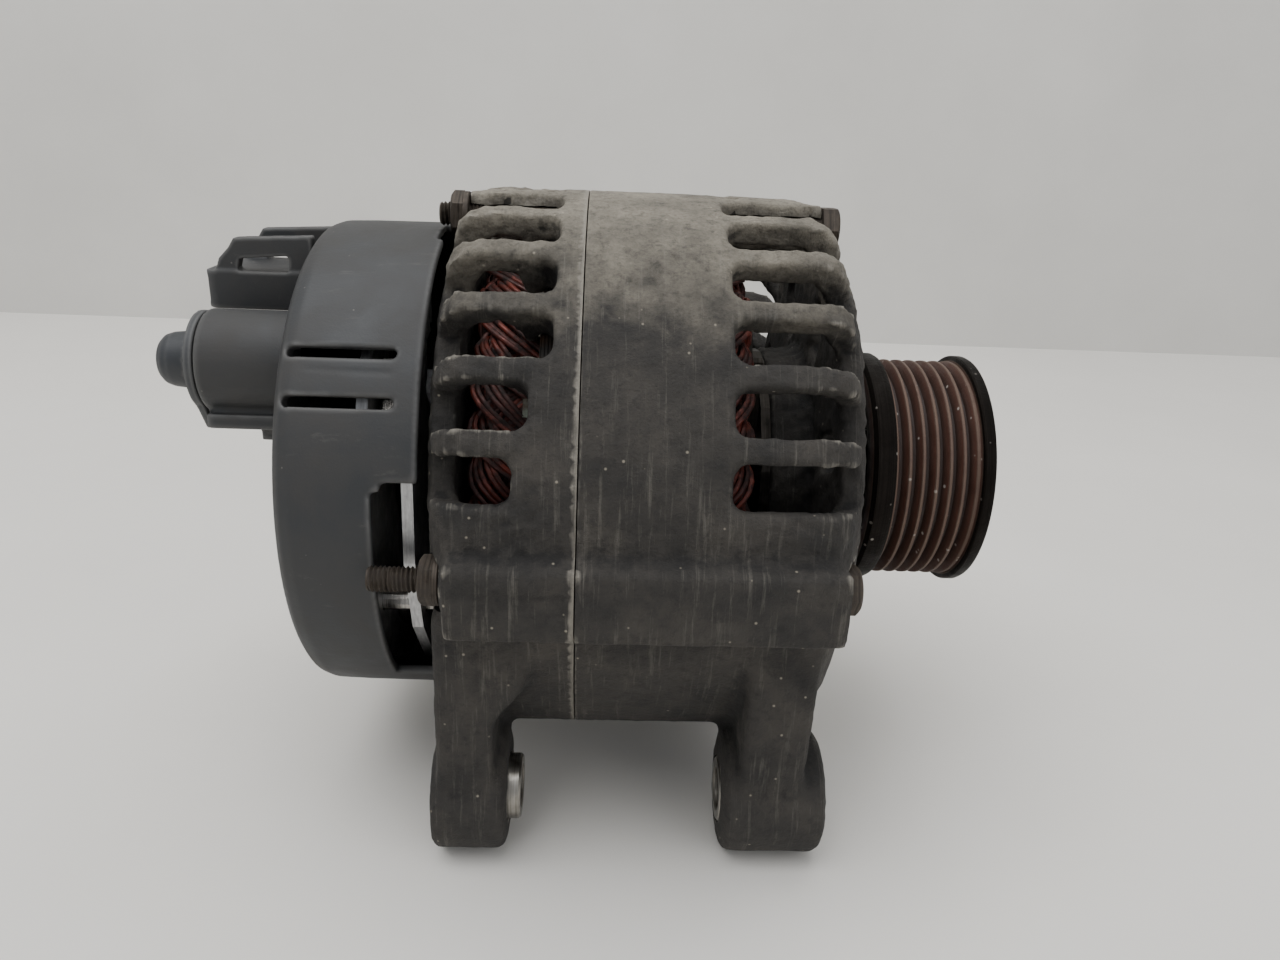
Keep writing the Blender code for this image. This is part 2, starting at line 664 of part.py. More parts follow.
def stator_winding(axis):
    """Copper winding: both heads and the wires between them."""
    obj = mesh_object("stator_winding", shape(lambda bm: winding_head(bm, core_end + GAP, 1),
                                              lambda bm: winding_head(bm, -core_end - GAP, -1)),
                      parent=axis)
    change(obj, "UNION", slot_bars)
    return finish(obj, *COPPER)


# ---- rotor ----
def rotor_shaft(axis):
    """Stepped shaft, threaded at the pulley end."""
    end = face_x + SHAFT_END_LEN
    rear_end = sleeve_span()[0] + 1.0
    seat = FRONT_BEARING["bore"]
    profile = [(rear_end, 0), (rear_end, SHAFT_REAR_R), (rear_x - REAR_HUB_PAST - 0.5, SHAFT_REAR_R),
               (rear_x - REAR_HUB_PAST - 0.5, REAR_BEARING["bore"]),
               (rear_bearing_x + REAR_BEARING["wide"] / 2 + GAP, REAR_BEARING["bore"]),
               (rear_bearing_x + REAR_BEARING["wide"] / 2 + GAP, SHAFT_R),
               (bearing_x - FRONT_BEARING["wide"] / 2 - GAP, SHAFT_R),
               (bearing_x - FRONT_BEARING["wide"] / 2 - GAP, seat), (end - 1.2, seat), (end, seat - 1.2),
               (end, 0)]
    return finish(mesh_object("rotor_shaft", shape(lambda bm: lathe(bm, profile, 14)), parent=axis), *STEEL)


def claw_gaps(bm, sign, turn):
    """What is cut away between the claws of one pole piece."""
    half_pitch = math.pi * ROTOR_R / POLE_PAIRS
    tip, root = -sign * core_end, sign * (pole_face - POLE_DISC)
    past_tip, past_root = -sign * (core_end + OVERLAP), sign * (pole_face + OVERLAP)
    widths = [(past_tip, half_pitch - CLAW_TIP_HALF), (tip, half_pitch - CLAW_TIP_HALF),
              (root, half_pitch - CLAW_ROOT_HALF), (past_root, half_pitch - CLAW_ROOT_HALF)]
    outline = [(x, -half) for x, half in widths] + [(x, half) for x, half in reversed(widths)]
    low, high = ROTOR_R - CLAW_ROOT - 0.8, ROTOR_R + OVERLAP
    for index in range(POLE_PAIRS):
        angle = turn + (index + 0.5) * 360 / POLE_PAIRS
        out = Vector((0, *side(angle, 1.0)))
        across = Vector((0, *side(angle + 90, 1.0)))
        points = [Vector((x, 0, 0)) + across * half + out * level
                  for level in (low, high) for x, half in outline]
        count = len(outline)
        faces = [list(range(count)), list(range(count, 2 * count))]
        faces += [[i, (i + 1) % count, count + (i + 1) % count, count + i] for i in range(count)]
        faces_from(bm, points, faces)


def claw_pole(name, axis, sign, turn):
    """A forged disc whose claws reach over the field coil."""
    disc = pole_face - POLE_DISC
    profile = [(GAP / 2, SHAFT_R + GAP), (pole_face, SHAFT_R + GAP), (pole_face, ROTOR_R - 4.0),
               (pole_face - 3.0, ROTOR_R), (-core_end, ROTOR_R), (-core_end, ROTOR_R - CLAW_TIP),
               (disc, ROTOR_R - CLAW_ROOT), (disc, POLE_CORE_R), (GAP / 2, POLE_CORE_R)]
    profile = [(sign * x, radius) for x, radius in profile]
    obj = mesh_object(name, shape(lambda bm: lathe(bm, profile, 24)), parent=axis)
    change(obj, "DIFFERENCE", lambda bm: claw_gaps(bm, sign, turn))
    return finish(obj, *DARK_STEEL)


def coil_bobbin(axis):
    """Plastic spool round the pole cores."""
    half = pole_face - POLE_DISC - GAP
    flange = COIL_OUT + 0.7
    profile = [(-half, POLE_CORE_R + GAP), (half, POLE_CORE_R + GAP), (half, flange),
               (half - BOBBIN_WALL, flange), (half - BOBBIN_WALL, COIL_IN - GAP),
               (-half + BOBBIN_WALL, COIL_IN - GAP), (-half + BOBBIN_WALL, flange), (-half, flange)]
    return finish(mesh_object("coil_bobbin", shape(lambda bm: lathe(bm, profile, 24)), parent=axis),
                  *BLACK_PLASTIC)


def field_coil(axis):
    """Wire wound on the spool."""
    half = pole_face - POLE_DISC - 2 * GAP - BOBBIN_WALL
    return finish(mesh_object("field_coil", shape(lambda bm: tube(bm, -half, half, COIL_IN, COIL_OUT, 24)),
                              parent=axis), *COPPER)


def fan_blades(bm, base, tip):
    """Swept blades standing on a fan's disc."""
    for index in range(FAN_BLADES):
        start = index * 360 / FAN_BLADES
        inner, outer = [], []
        for share in (0.0, 1.0):
            radius = FAN_BLADE_IN + (FAN_R - GAP - FAN_BLADE_IN) * share
            angle = start + FAN_SWEEP * share * share
            shift = math.degrees(FAN_THICK / 2 / radius)
            inner.append(side(angle - shift, radius))
            outer.append(side(angle + shift, radius))
        prism(bm, inner + outer[::-1], "X", *sorted((base, tip)))


def fan(name, axis, sign, tip):
    """Cooling fan on a pole piece's outer face, its blades reaching to a station."""
    base = sign * (pole_face + GAP)
    face = base + sign * FAN_THICK
    obj = mesh_object(name, shape(lambda bm: tube(bm, base, face, SHAFT_R + 3.0, FAN_R, 22)), parent=axis)
    change(obj, "UNION", lambda bm: fan_blades(bm, base + sign * FAN_THICK / 2, tip))
    return finish(obj, *DARK_STEEL)


def ring_at(index):
    """Station of the middle of a slip ring."""
    return rear_x - RING_FIRST - index * RING_STEP


def sleeve_span():
    """Stations of the ends of the slip rings' sleeve."""
    return ring_at(1) - RING_WIDE / 2 - SLEEVE_LAND, ring_at(0) + RING_WIDE / 2 + SLEEVE_LAND


def slip_rings(axis):
    """Moulded sleeve with two copper rings."""
    low, high = sleeve_span()
    profile = [(low, SHAFT_REAR_R + GAP), (high, SHAFT_REAR_R + GAP), (high, SLEEVE_R)]
    for index in range(2):
        edge = RING_WIDE / 2 + GAP
        profile += [(ring_at(index) + edge, SLEEVE_R), (ring_at(index) + edge, SLEEVE_R - RING_SEAT),
                    (ring_at(index) - edge, SLEEVE_R - RING_SEAT), (ring_at(index) - edge, SLEEVE_R)]
    profile.append((low, SLEEVE_R))
    finish(mesh_object("slip_ring_sleeve", shape(lambda bm: lathe(bm, profile, 12)), parent=axis),
           *BLACK_PLASTIC)
    for index, name in enumerate(("slip_ring_inner", "slip_ring_outer")):
        half = RING_WIDE / 2
        ring = shape(lambda bm: tube(bm, -half, half, SLEEVE_R - RING_SEAT + GAP, RING_R, 20))
        finish(mesh_object(name, ring, (ring_at(index), 0, 0), axis), *COPPER)


# ---- bearings ----
def race_profile(size, inner):
    """Outline of one bearing race, with a shallow track for the balls."""
    half = size["wide"] / 2
    pitch = (size["bore"] + size["outer"]) / 2
    away = -1 if inner else 1
    track = pitch + away * (size["ball"] + 0.35)
    land = track - away * 1.4
    wall = size["bore"] + GAP if inner else size["outer"]
    reach = size["ball"] * 0.95
    if not inner:
        track, land = around(track, RACE_FACETS), around(land, RACE_FACETS)
    return [(-half, wall), (half, wall), (half, land), (reach, land), (reach * 0.4, track),
            (-reach * 0.4, track), (-reach, land), (-half, land)]


def balls_and_cage(bm, size):
    """The balls with the cage that spaces them, as one body."""
    pitch = (size["bore"] + size["outer"]) / 2
    for index in range(size["balls"]):
        y, z = side(index * 360 / size["balls"], pitch)
        bmesh.ops.create_uvsphere(bm, u_segments=6, v_segments=4, radius=size["ball"],
                                  matrix=Matrix.Translation((0, y, z)))


def bearing(label, size, station, fixed, turning, rolling):
    """A ball bearing's races, and its balls on the body that rolls."""
    for race, inner, parent in (("outer_race", False, fixed), ("inner_race", True, turning)):
        outline = race_profile(size, inner)
        ring = shape(lambda bm: lathe(bm, outline, RACE_FACETS))
        finish(mesh_object(f"{label}_bearing_{race}", ring, (station, 0, 0), parent), *STEEL)
    pitch = (size["bore"] + size["outer"]) / 2
    half = CAGE_THICK / 2
    cage = shape(lambda bm: tube(bm, -half, half, pitch - half, pitch + half, size["balls"] * 2))
    obj = mesh_object(f"{label}_bearing_balls", cage, parent=rolling)
    change(obj, "UNION", lambda bm: balls_and_cage(bm, size))
    return finish(obj, *STEEL, smooth=60.0)


def bearing_retainer(axis):
    """Plate staked behind the front bearing."""
    back = hub_back - GAP
    plate = shape(lambda bm: tube(bm, back - RETAINER_THICK, back, FRONT_BEARING["outer"] - RETAINER_LAP,
                                  FRONT_BEARING["outer"] + HUB_WALL - GAP, 24))
    return finish(mesh_object("bearing_retainer", plate, parent=axis), *DARK_STEEL)


def screw_shape(radius, head, high, long):
    """A screw with its head's underside at zero and its shank along +X."""
    profile = [(-high, 0), (-high, head * 0.8), (-high * 0.6, head), (0, head), (0, radius), (long, radius),
               (long, 0)]
    return shape(lambda bm: lathe(bm, profile, 12))


# ---- pulley end ----
def groove_profile(start):
    """Outline of the belt grooves, from the pulley's inner face outwards."""
    points = []
    for index in range(GROOVES):
        left = start + index * PITCH
        points += [(left + CREST / 2, PULLEY_R), (left + PITCH / 2, PULLEY_R - GROOVE_DEEP),
                   (left + PITCH - CREST / 2, PULLEY_R)]
    return points


def pulley(axis):
    """Grooved belt pulley with a web set back from both faces."""
    back, front = pulley_x, pulley_x + pulley_len
    first = back + REAR_FLANGE
    last = first + GROOVES * PITCH
    web_back, web_front = back + WEB[0], back + WEB[1]
    rim = PULLEY_R - PULLEY_RIM
    profile = [(back, FLANGE_R), (first - 0.6, FLANGE_R), (first, PULLEY_R)]
    profile += groove_profile(first)
    profile += [(last + 0.6, PULLEY_R), (last + 1.2, FLANGE_R), (front, FLANGE_R), (front, rim),
                (web_front, rim), (web_front, FRONT_BEARING["bore"] + GAP),
                (back, FRONT_BEARING["bore"] + GAP),
                (back, HUB_R), (web_back, HUB_R), (web_back, rim), (back, rim)]
    return finish(mesh_object("pulley", shape(lambda bm: lathe(bm, profile, 24)), parent=axis), *RUSTY_STEEL)


def pulley_fasteners(axis):
    """Collar behind the pulley, and the washer and nut in front of its web."""
    bore = FRONT_BEARING["bore"] + GAP
    low = bearing_x + FRONT_BEARING["wide"] / 2 + GAP
    collar = shape(lambda bm: tube(bm, low, pulley_x - GAP, bore, HUB_R - 1.0, 18))
    finish(mesh_object("spacer_collar", collar, parent=axis), *STEEL)
    seat = pulley_x + WEB[1] + GAP
    washer = shape(lambda bm: tube(bm, seat, seat + SHAFT_WASHER, bore, HUB_R + 0.6, 18))
    finish(mesh_object("pulley_washer", washer, parent=axis), *DARK_STEEL)
    low = seat + SHAFT_WASHER + GAP
    nut = shape(lambda bm: hex_nut(bm, low, low + SHAFT_NUT_HIGH, bore, SHAFT_NUT_FLATS))
    obj = mesh_object("pulley_nut", nut, parent=axis)
    finish(obj, *DARK_STEEL)


# ---- fasteners of the shells ----
def through_bolt(index, axis):
    """One bolt, and its nut with a captive washer."""
    angle = BOLT_ANGLE + index * 360 / BOLT_COUNT
    y, z = side(angle, bolt_circle)
    past = LONG_BOLT_END if index == 0 else SHORT_BOLT_END
    low = nut_seat - GAP - WASHER_THICK - NUT_HIGH - past
    high = head_seat + GAP
    corner = around(NUT_FLATS / 2, 6)
    bolt = shape(lambda bm: rod(bm, low, high + 1.0, BOLT_R, 12))
    obj = mesh_object(f"through_bolt_{index + 1}", bolt, (0, y, z), axis)
    change_local(obj, lambda bm: rod(bm, high, high + HEAD_HIGH, corner, 6))
    finish(obj, *DARK_STEEL)
    seat = nut_seat - GAP
    washer = shape(lambda bm: tube(bm, -WASHER_THICK, 0, BOLT_R + 2 * GAP, WASHER_R, 12))
    nut = mesh_object(f"bolt_nut_{index + 1}", washer, (seat, y, z), axis)
    change_local(nut, lambda bm: hex_nut(bm, -WASHER_THICK - NUT_HIGH, -WASHER_THICK / 2, BOLT_R + GAP,
                                         NUT_FLATS, turn=math.pi / 6))
    finish(nut, *DARK_STEEL)


def change_local(obj, *builders):
    """Joins a shape made in the object's own frame."""
    change(obj, "UNION", *builders)
    obj.modifiers[-1].object.location = obj.location


def ear_bushes(fixed, sliding):
    """Steel bushes of the ears on the saddle side; the rear one slides to suit the bracket's width."""
    outer = EAR_BORE_R - GAP
    front = shape(lambda bm: tube(bm, FRONT_EAR[0] - FRONT_BUSH_SHIFT, FRONT_EAR[1] - FRONT_BUSH_SHIFT,
                                  BUSH_BOLT_R, outer, 16))
    finish(mesh_object("front_ear_bush", front, (0, *ear_at(-1)), fixed), *STEEL)
    low, high = REAR_EAR[0] + BUSH_THROW, REAR_EAR[1] + BUSH_PROUD
    rear = shape(lambda bm: tube(bm, low, high, BUSH_BOLT_R, outer, 16))
    finish(mesh_object("rear_ear_bush", rear, parent=sliding), *STEEL)


# ---- rear end ----
def cover_wall(profile_r, rear, front):
    """Outline of the cover's wall down to the axis."""
    corner = COVER_ROUND
    return [(front, profile_r), (rear + corner, profile_r), (rear + corner * 0.3, profile_r - corner * 0.3),
            (rear, profile_r - corner), (rear, 0)]


def cover_screws(bm, low, high, radius, segments=12):
    """A round bar at each of the cover's screws."""
    for angle in COVER_SCREW_ANGLES:
        rod(bm, low, high, radius, segments, side(angle, COVER_SCREW_CIRCLE))


def rear_cover(axis):
    """Moulded cover over the rectifier, with the terminal's tube."""
    outer = cover_wall(cover_r, cover_x, rim_x) + [(rim_x, 0)]
    inner = cover_wall(cover_r - COVER_WALL, cover_x + COVER_WALL, rim_x + OVERLAP)
    inner.append((rim_x + OVERLAP, 0))
    y, z = STUD_AT
    well = COVER_SCREW_HEAD + 2 * GAP
    obj = mesh_object("rear_cover", shape(lambda bm: lathe(bm, outer, 32)), parent=axis)
    change(obj, "DIFFERENCE", lambda bm: lathe(bm, inner, 32))
    shelf = (z - TUBE_R - LEDGE_BELOW, z - TUBE_R + OVERLAP)
    change(obj, "UNION",
           lambda bm: rod(bm, tube_x, cover_x + COVER_WALL / 2, TUBE_R, 20, STUD_AT))
    change(obj, "UNION",
           lambda bm: block(bm, (tube_x + 1.0, cover_x + 1.0), (y - TUBE_R + OVERLAP, y + TUBE_R - OVERLAP),
                            shelf),
           lambda bm: cover_screws(bm, cover_x + COVER_WALL / 2, cover_x + SCREW_SINK + WELL_FLOOR,
                                   well + WELL_WALL))
    wall = (rim_x - CUT_DEEP, rim_x + OVERLAP)
    radii = (cover_r - COVER_WALL - OVERLAP, cover_r + OVERLAP)
    slot_x = (cover_x + COVER_ROUND * 0.6, rim_x - COVER_SLOT_LAND)
    change(obj, "DIFFERENCE",
           lambda bm: sector(bm, wall, radii, CUT_ANGLES, 10),
           lambda bm: sector(bm, slot_x, radii, span_about(SLOT_ANGLES[0]), 1),
           lambda bm: sector(bm, slot_x, radii, span_about(SLOT_ANGLES[1]), 1),
           lambda bm: rod(bm, tube_x - OVERLAP, cover_x + COVER_WALL + OVERLAP, TUBE_R - TUBE_WALL, 20,
                          STUD_AT),
           lambda bm: cover_screws(bm, cover_x - OVERLAP, cover_x + SCREW_SINK, well),
           neck_hole,
           lambda bm: cover_vents(bm))
    change(obj, "DIFFERENCE", lambda bm: cover_screws(bm, cover_x + SCREW_SINK - 1.0,
                                                      cover_x + SCREW_SINK + WELL_FLOOR + OVERLAP,
                                                      COVER_SCREW_R + SCREW_CLEAR, 10))
    return finish(obj, *BLACK_PLASTIC)


def span_about(angle):
    """Two side angles either side of one."""
    return angle - COVER_SLOT_SPAN / 2, angle + COVER_SLOT_SPAN / 2


def cover_vents(bm):
    """Cutters for the air slots in the cover's rear face."""
    for index in range(COVER_VENTS):
        angle = -180 + index * COVER_VENT_STEP
        inside = cover_x + COVER_WALL + 1.0
        outline = [(cover_x - OVERLAP, COVER_VENT_IN), (inside, COVER_VENT_IN),
                   (inside, COVER_VENT_OUT), (cover_x - OVERLAP, COVER_VENT_OUT)]
        radial(bm, outline, COVER_VENT_WIDTH, angle)


def neck_hole(bm):
    """Cutter that lets the socket's neck through the cover."""
    play = GAP + 0.1
    block(bm, (cover_x - OVERLAP, cover_x + COVER_WALL + 1.0), (NECK["near"] - play, NECK["far"] + play),
          (NECK["low"] - play, NECK["high"] + play))


def heat_sink(name, axis, back, holes):
    """Rectifier plate, part of a ring."""
    span = (rear_x - back - SINK_THICK, rear_x - back)
    outer = cover_r - COVER_WALL - PLATE_EDGE
    obj = mesh_object(name, shape(lambda bm: sector(bm, span, (PLATE_IN, outer), SINK_ANGLES, 12)),
                      parent=axis)
    through = (span[0] - OVERLAP, span[1] + OVERLAP)
    screw_hole = COVER_SCREW_R + SCREW_CLEAR
    change(obj, "DIFFERENCE", lambda bm: cover_screws(bm, *through, screw_hole, 10), *holes(through))
    return finish(obj, *BARE_ALUMINIUM)


def rectifier(axis):
    """Two heat sinks with the diodes that stand on them."""
    def stud_hole(through):
        return [lambda bm: rod(bm, *through, STUD_R + GAP, 12, STUD_AT)]

    def relief(through):
        return [lambda bm: rod(bm, *through, STUD_RELIEF_R, 12, STUD_AT)]
    heat_sink("negative_heat_sink", axis, NEG_SINK_BACK, relief)
    heat_sink("positive_heat_sink", axis, POS_SINK_BACK, stud_hole)
    for label, angles, back in (("negative", NEG_DIODES, NEG_SINK_BACK), ("positive", POS_DIODES,
                                                                           POS_SINK_BACK)):
        top = rear_x - back - SINK_THICK - GAP
        for index, angle in enumerate(angles):
            y, z = side(angle, DIODE_CIRCLE)
            profile = [(0, 0), (0, DIODE_R), (-DIODE_HIGH + 1.0, DIODE_R), (-DIODE_HIGH, DIODE_R - 1.0),
                       (-DIODE_HIGH, 0)]
            can = shape(lambda bm: lathe(bm, profile, 12))
            finish(mesh_object(f"{label}_diode_{index + 1}", can, (top, y, z), axis), *STEEL)


def terminal(axis, pulling):
    """Output stud and nut, and the cap that pulls off them."""
    y, z = STUD_AT
    sink = rear_x - POS_SINK_BACK
    head = sink + GAP + STUD_HEAD_HIGH
    stud = [(head, 0), (head, STUD_HEAD_R), (sink + GAP, STUD_HEAD_R), (sink + GAP, STUD_R),
            (tube_x + STUD_SHORT, STUD_R), (tube_x + STUD_SHORT, 0)]
    finish(mesh_object("terminal_stud", shape(lambda bm: lathe(bm, stud, 12)), (0, y, z), axis), *STEEL)
    nut = shape(lambda bm: hex_nut(bm, -STUD_NUT_HIGH, 0, STUD_R + GAP, STUD_NUT_FLATS))
    finish(mesh_object("terminal_nut", nut, (cover_x - STUD_NUT_BACK, y, z), axis), *STEEL)
    bore = TUBE_R - TUBE_WALL - GAP
    seat = -GAP
    face = seat - CAP_FLANGE
    cap = [(CAP_SPIGOT, bore), (seat, bore), (seat, TUBE_R - 0.5), (face, TUBE_R - 0.5),
           (face, CAP_NOSE_R + 0.4),
           (face - CAP_NOSE_LEN + 3.0, CAP_NOSE_R - 0.4), (face - CAP_NOSE_LEN + 0.8, CAP_NOSE_R - 1.8),
           (face - CAP_NOSE_LEN, CAP_NOSE_R - 4.0), (face - CAP_NOSE_LEN, 0), (face - 6.0, 0),
           (face - 6.0, STUD_R + 0.6), (face, bore - CAP_WALL), (CAP_SPIGOT, bore - CAP_WALL)]
    obj = mesh_object("terminal_cap", shape(lambda bm: lathe(bm, cap, 14)), parent=pulling)
    tail = [(-8.0, -7.0), (9.0, -7.0), (5.0, -CAP_TAIL + 3.0), (1.0, -CAP_TAIL), (-3.0, -CAP_TAIL + 2.0)]
    change(obj, "UNION", lambda bm: prism(bm, tail, "X", face + 0.1, seat - 0.1))
    return finish(obj, *BLACK_PLASTIC)


def brush_gear(axis, brush_axes):
    """Brush holder, two brushes and their springs."""
    low_x = ring_at(1) - BRUSH_WIDE / 2 - GAP - HOLDER_WALL
    high_x = ring_at(0) + BRUSH_WIDE / 2 + GAP + HOLDER_WALL
    half = BRUSH_DEEP / 2 + GAP + HOLDER_WALL
    floor = RING_R + 1.6
    obj = mesh_object("brush_holder", shape(lambda bm: block(bm, (low_x, high_x), (-half, half),
                                                              (floor, HOLDER_TOP))), parent=axis)
    room = BRUSH_DEEP / 2 + GAP

    def wells(bm):
        for index in range(2):
            wide = BRUSH_WIDE / 2 + GAP
            block(bm, (ring_at(index) - wide, ring_at(index) + wide), (-room, room),
                  (floor - OVERLAP, HOLDER_TOP - HOLDER_WALL))
    change(obj, "DIFFERENCE", wells)
    finish(obj, *BLACK_PLASTIC)
    foot = RING_R + GAP
    for index, parent in enumerate(brush_axes):
        brush = shape(lambda bm: block(bm, (-BRUSH_WIDE / 2, BRUSH_WIDE / 2), (-BRUSH_DEEP / 2,
                                       BRUSH_DEEP / 2), (0, BRUSH_LEN)))
        finish(mesh_object(f"brush_{index + 1}", brush, parent=parent), *CARBON)
        bottom = foot + BRUSH_LEN + GAP
        coil = spring_shape(bottom, HOLDER_TOP - HOLDER_WALL - GAP, BRUSH_WIDE / 2 - 0.1)
        finish(mesh_object(f"brush_spring_{index + 1}", coil, (ring_at(index), 0, 0), axis), *STEEL)


def spring_shape(low, high, radius):
    """A round-wire compression spring along Z."""
    bm = bmesh.new()
    per_turn, sides = 7, 4
    count = SPRING_TURNS * per_turn
    rings = []
    base, top = low + SPRING_WIRE, high - SPRING_WIRE
    mean = radius - SPRING_WIRE
    for step in range(count + 1):
        angle = math.tau * step / per_turn
        out = Vector((math.cos(angle), math.sin(angle), 0))
        middle = out * mean + Vector((0, 0, base + (top - base) * step / count))
        ring = []
        for corner in range(sides):
            turn = math.tau * corner / sides
            ring.append(bm.verts.new(middle + (out * math.cos(turn) + Vector((0, 0, 1)) * math.sin(turn))
                                     * SPRING_WIRE))
        rings.append(ring)
    for this, after in zip(rings, rings[1:]):
        for corner in range(sides):
            near = (corner + 1) % sides
            bm.faces.new([this[corner], this[near], after[near], after[corner]])
    bm.faces.new(rings[0])
    bm.faces.new(rings[-1])
    bmesh.ops.recalc_face_normals(bm, faces=bm.faces[:])
    return bm


def regulator(axis):
    """Voltage regulator's box above the brush holder."""
    half, low, high = REGULATOR
    x = (ring_at(1) - 5.0, ring_at(0) + 4.0)
    box = shape(lambda bm: block(bm, x, (-half, half), (low, high)))
    return finish(mesh_object("regulator", box, parent=axis), *BLACK_PLASTIC)


def socket(axis):
    """Plug socket behind the cover: its shroud, neck, guard and pins."""
    back = cover_x - GAP
    front = back - SOCKET["long"]
    wall = SOCKET["wall"]
    obj = mesh_object("plug_socket", shape(lambda bm: block(bm, (front, back),
                                                            (SOCKET["near"], SOCKET["far"]),
                                                            (SOCKET["low"], SOCKET["high"]))), parent=axis)
    neck_end = ring_at(1) - 5.0 - GAP
    change(obj, "UNION", lambda bm: block(bm, (back - OVERLAP, neck_end), (NECK["near"], NECK["far"]),
                                          (NECK["low"], NECK["high"])))
    guard = [(back, SOCKET["high"] + 4.0), (back, GUARD_TOP), (back - 19.0, GUARD_TOP - 1.0),
             (front + 4.5, GUARD_TOP - 5.0), (front + 2.5, SOCKET["high"] - 1.0),
             (front + 8.0, SOCKET["high"] - 1.0), (front + 9.0, SOCKET["high"] + 3.0),
             (back - 6.0, SOCKET["high"] + 4.0), (back - 6.0, SOCKET["high"] - 1.0),
             (back, SOCKET["high"] - 1.0)]
    for y in ((SOCKET["near"] + GAP, SOCKET["near"] + GAP + GUARD_THICK),
              (SOCKET["far"] - GAP - GUARD_THICK, SOCKET["far"] - GAP)):
        change(obj, "UNION", lambda bm: prism(bm, guard, "Y", *y))
    change(obj, "DIFFERENCE", lambda bm: block(bm, (front - OVERLAP, back - SOCKET_FLOOR),
                                               (SOCKET["near"] + wall, SOCKET["far"] - wall),
                                               (SOCKET["low"] + wall, SOCKET["high"] - wall)))
    finish(obj, *BLACK_PLASTIC)
    middle = (SOCKET["low"] + SOCKET["high"]) / 2
    step = (SOCKET["far"] - SOCKET["near"]) / (PINS + 1)
    for index in range(PINS):
        y = SOCKET["near"] + step * (index + 1)
        pin = shape(lambda bm: block(bm, (-PIN_LEN, 0), (-PIN_WIDE / 2, PIN_WIDE / 2),
                                     (-PIN_THICK / 2, PIN_THICK / 2)))
        finish(mesh_object(f"socket_pin_{index + 1}", pin, (back - SOCKET_FLOOR - GAP, y, middle), axis),
               *STEEL)


def cover_fasteners(axis):
    """Long screws that hold the cover and the rectifier to the rear shell."""
    seat = cover_x + SCREW_SINK - GAP
    long = rear_x - GAP - seat
    for index, angle in enumerate(COVER_SCREW_ANGLES):
        y, z = side(angle, COVER_SCREW_CIRCLE)
        screw = screw_shape(COVER_SCREW_R, COVER_SCREW_HEAD, COVER_SCREW_HIGH, long)
        finish(mesh_object(f"cover_screw_{index + 1}", screw, (seat, y, z), axis), *STEEL)


def build():
    """Makes every piece, standing on the ground."""
    clear_scene()
    middle_x = (nose_x + pulley_x + pulley_len) / 2
    axis_z = EAR_R - ear_at(1)[1]
    fixed = empty("fixed_axis", (-middle_x, 0, axis_z))
    turning = empty("rotor_axis", (0, 0, 0), fixed)
    front_roll = empty("front_ball_axis", (bearing_x, 0, 0), fixed)
    rear_roll = empty("rear_ball_axis", (rear_bearing_x, 0, 0), fixed)
    brush_axes = [empty(f"brush_axis_{index + 1}", (ring_at(index), 0, RING_R + GAP), fixed)
                  for index in range(2)]
    bush_axis = empty("bush_axis", (0, *ear_at(-1)), fixed)
    cap_axis = empty("cap_axis", (tube_x, *STUD_AT), fixed)

    front_housing(fixed)
    rear_housing(fixed)
    stator_core(fixed)
    stator_winding(fixed)
    bearing_retainer(fixed)
    for index in range(BOLT_COUNT):
        through_bolt(index, fixed)
    ear_bushes(fixed, bush_axis)
    rear_cover(fixed)
    rectifier(fixed)
    terminal(fixed, cap_axis)
    regulator(fixed)
    brush_gear(fixed, brush_axes)
    socket(fixed)
    cover_fasteners(fixed)

    rotor_shaft(turning)
    claw_pole("front_claw_pole", turning, 1, 0.0)
    claw_pole("rear_claw_pole", turning, -1, 180.0 / POLE_PAIRS)
    coil_bobbin(turning)
    field_coil(turning)
    fan("front_fan", turning, 1, hub_back - GAP - RETAINER_THICK - FAN_CLEAR)
    fan("rear_fan", turning, -1, rear_x + PLATE + FAN_CLEAR)
    slip_rings(turning)
    bearing("front", FRONT_BEARING, bearing_x, fixed, turning, front_roll)
    bearing("rear", REAR_BEARING, rear_bearing_x, fixed, turning, rear_roll)
    pulley(turning)
    pulley_fasteners(turning)


build()
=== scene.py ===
"""Looks of a car alternator: two ribbed cast shells under oily grime, a grooved belt pulley, a moulded
rear cover with its capped output stud and plug socket, and the copper winding seen through the windows.

Lengths are in millimetres from the middle of the stator core, on the rotor's axis: x runs towards the
pulley, y away from the saddle side, z up. Side angles are degrees about that axis, from the saddle side up.
"""
import math
import random

import bpy
import numpy as np
from bpy.props import FloatProperty, FloatVectorProperty, IntProperty, PointerProperty
from mathutils import Matrix, Quaternion, Vector, noise


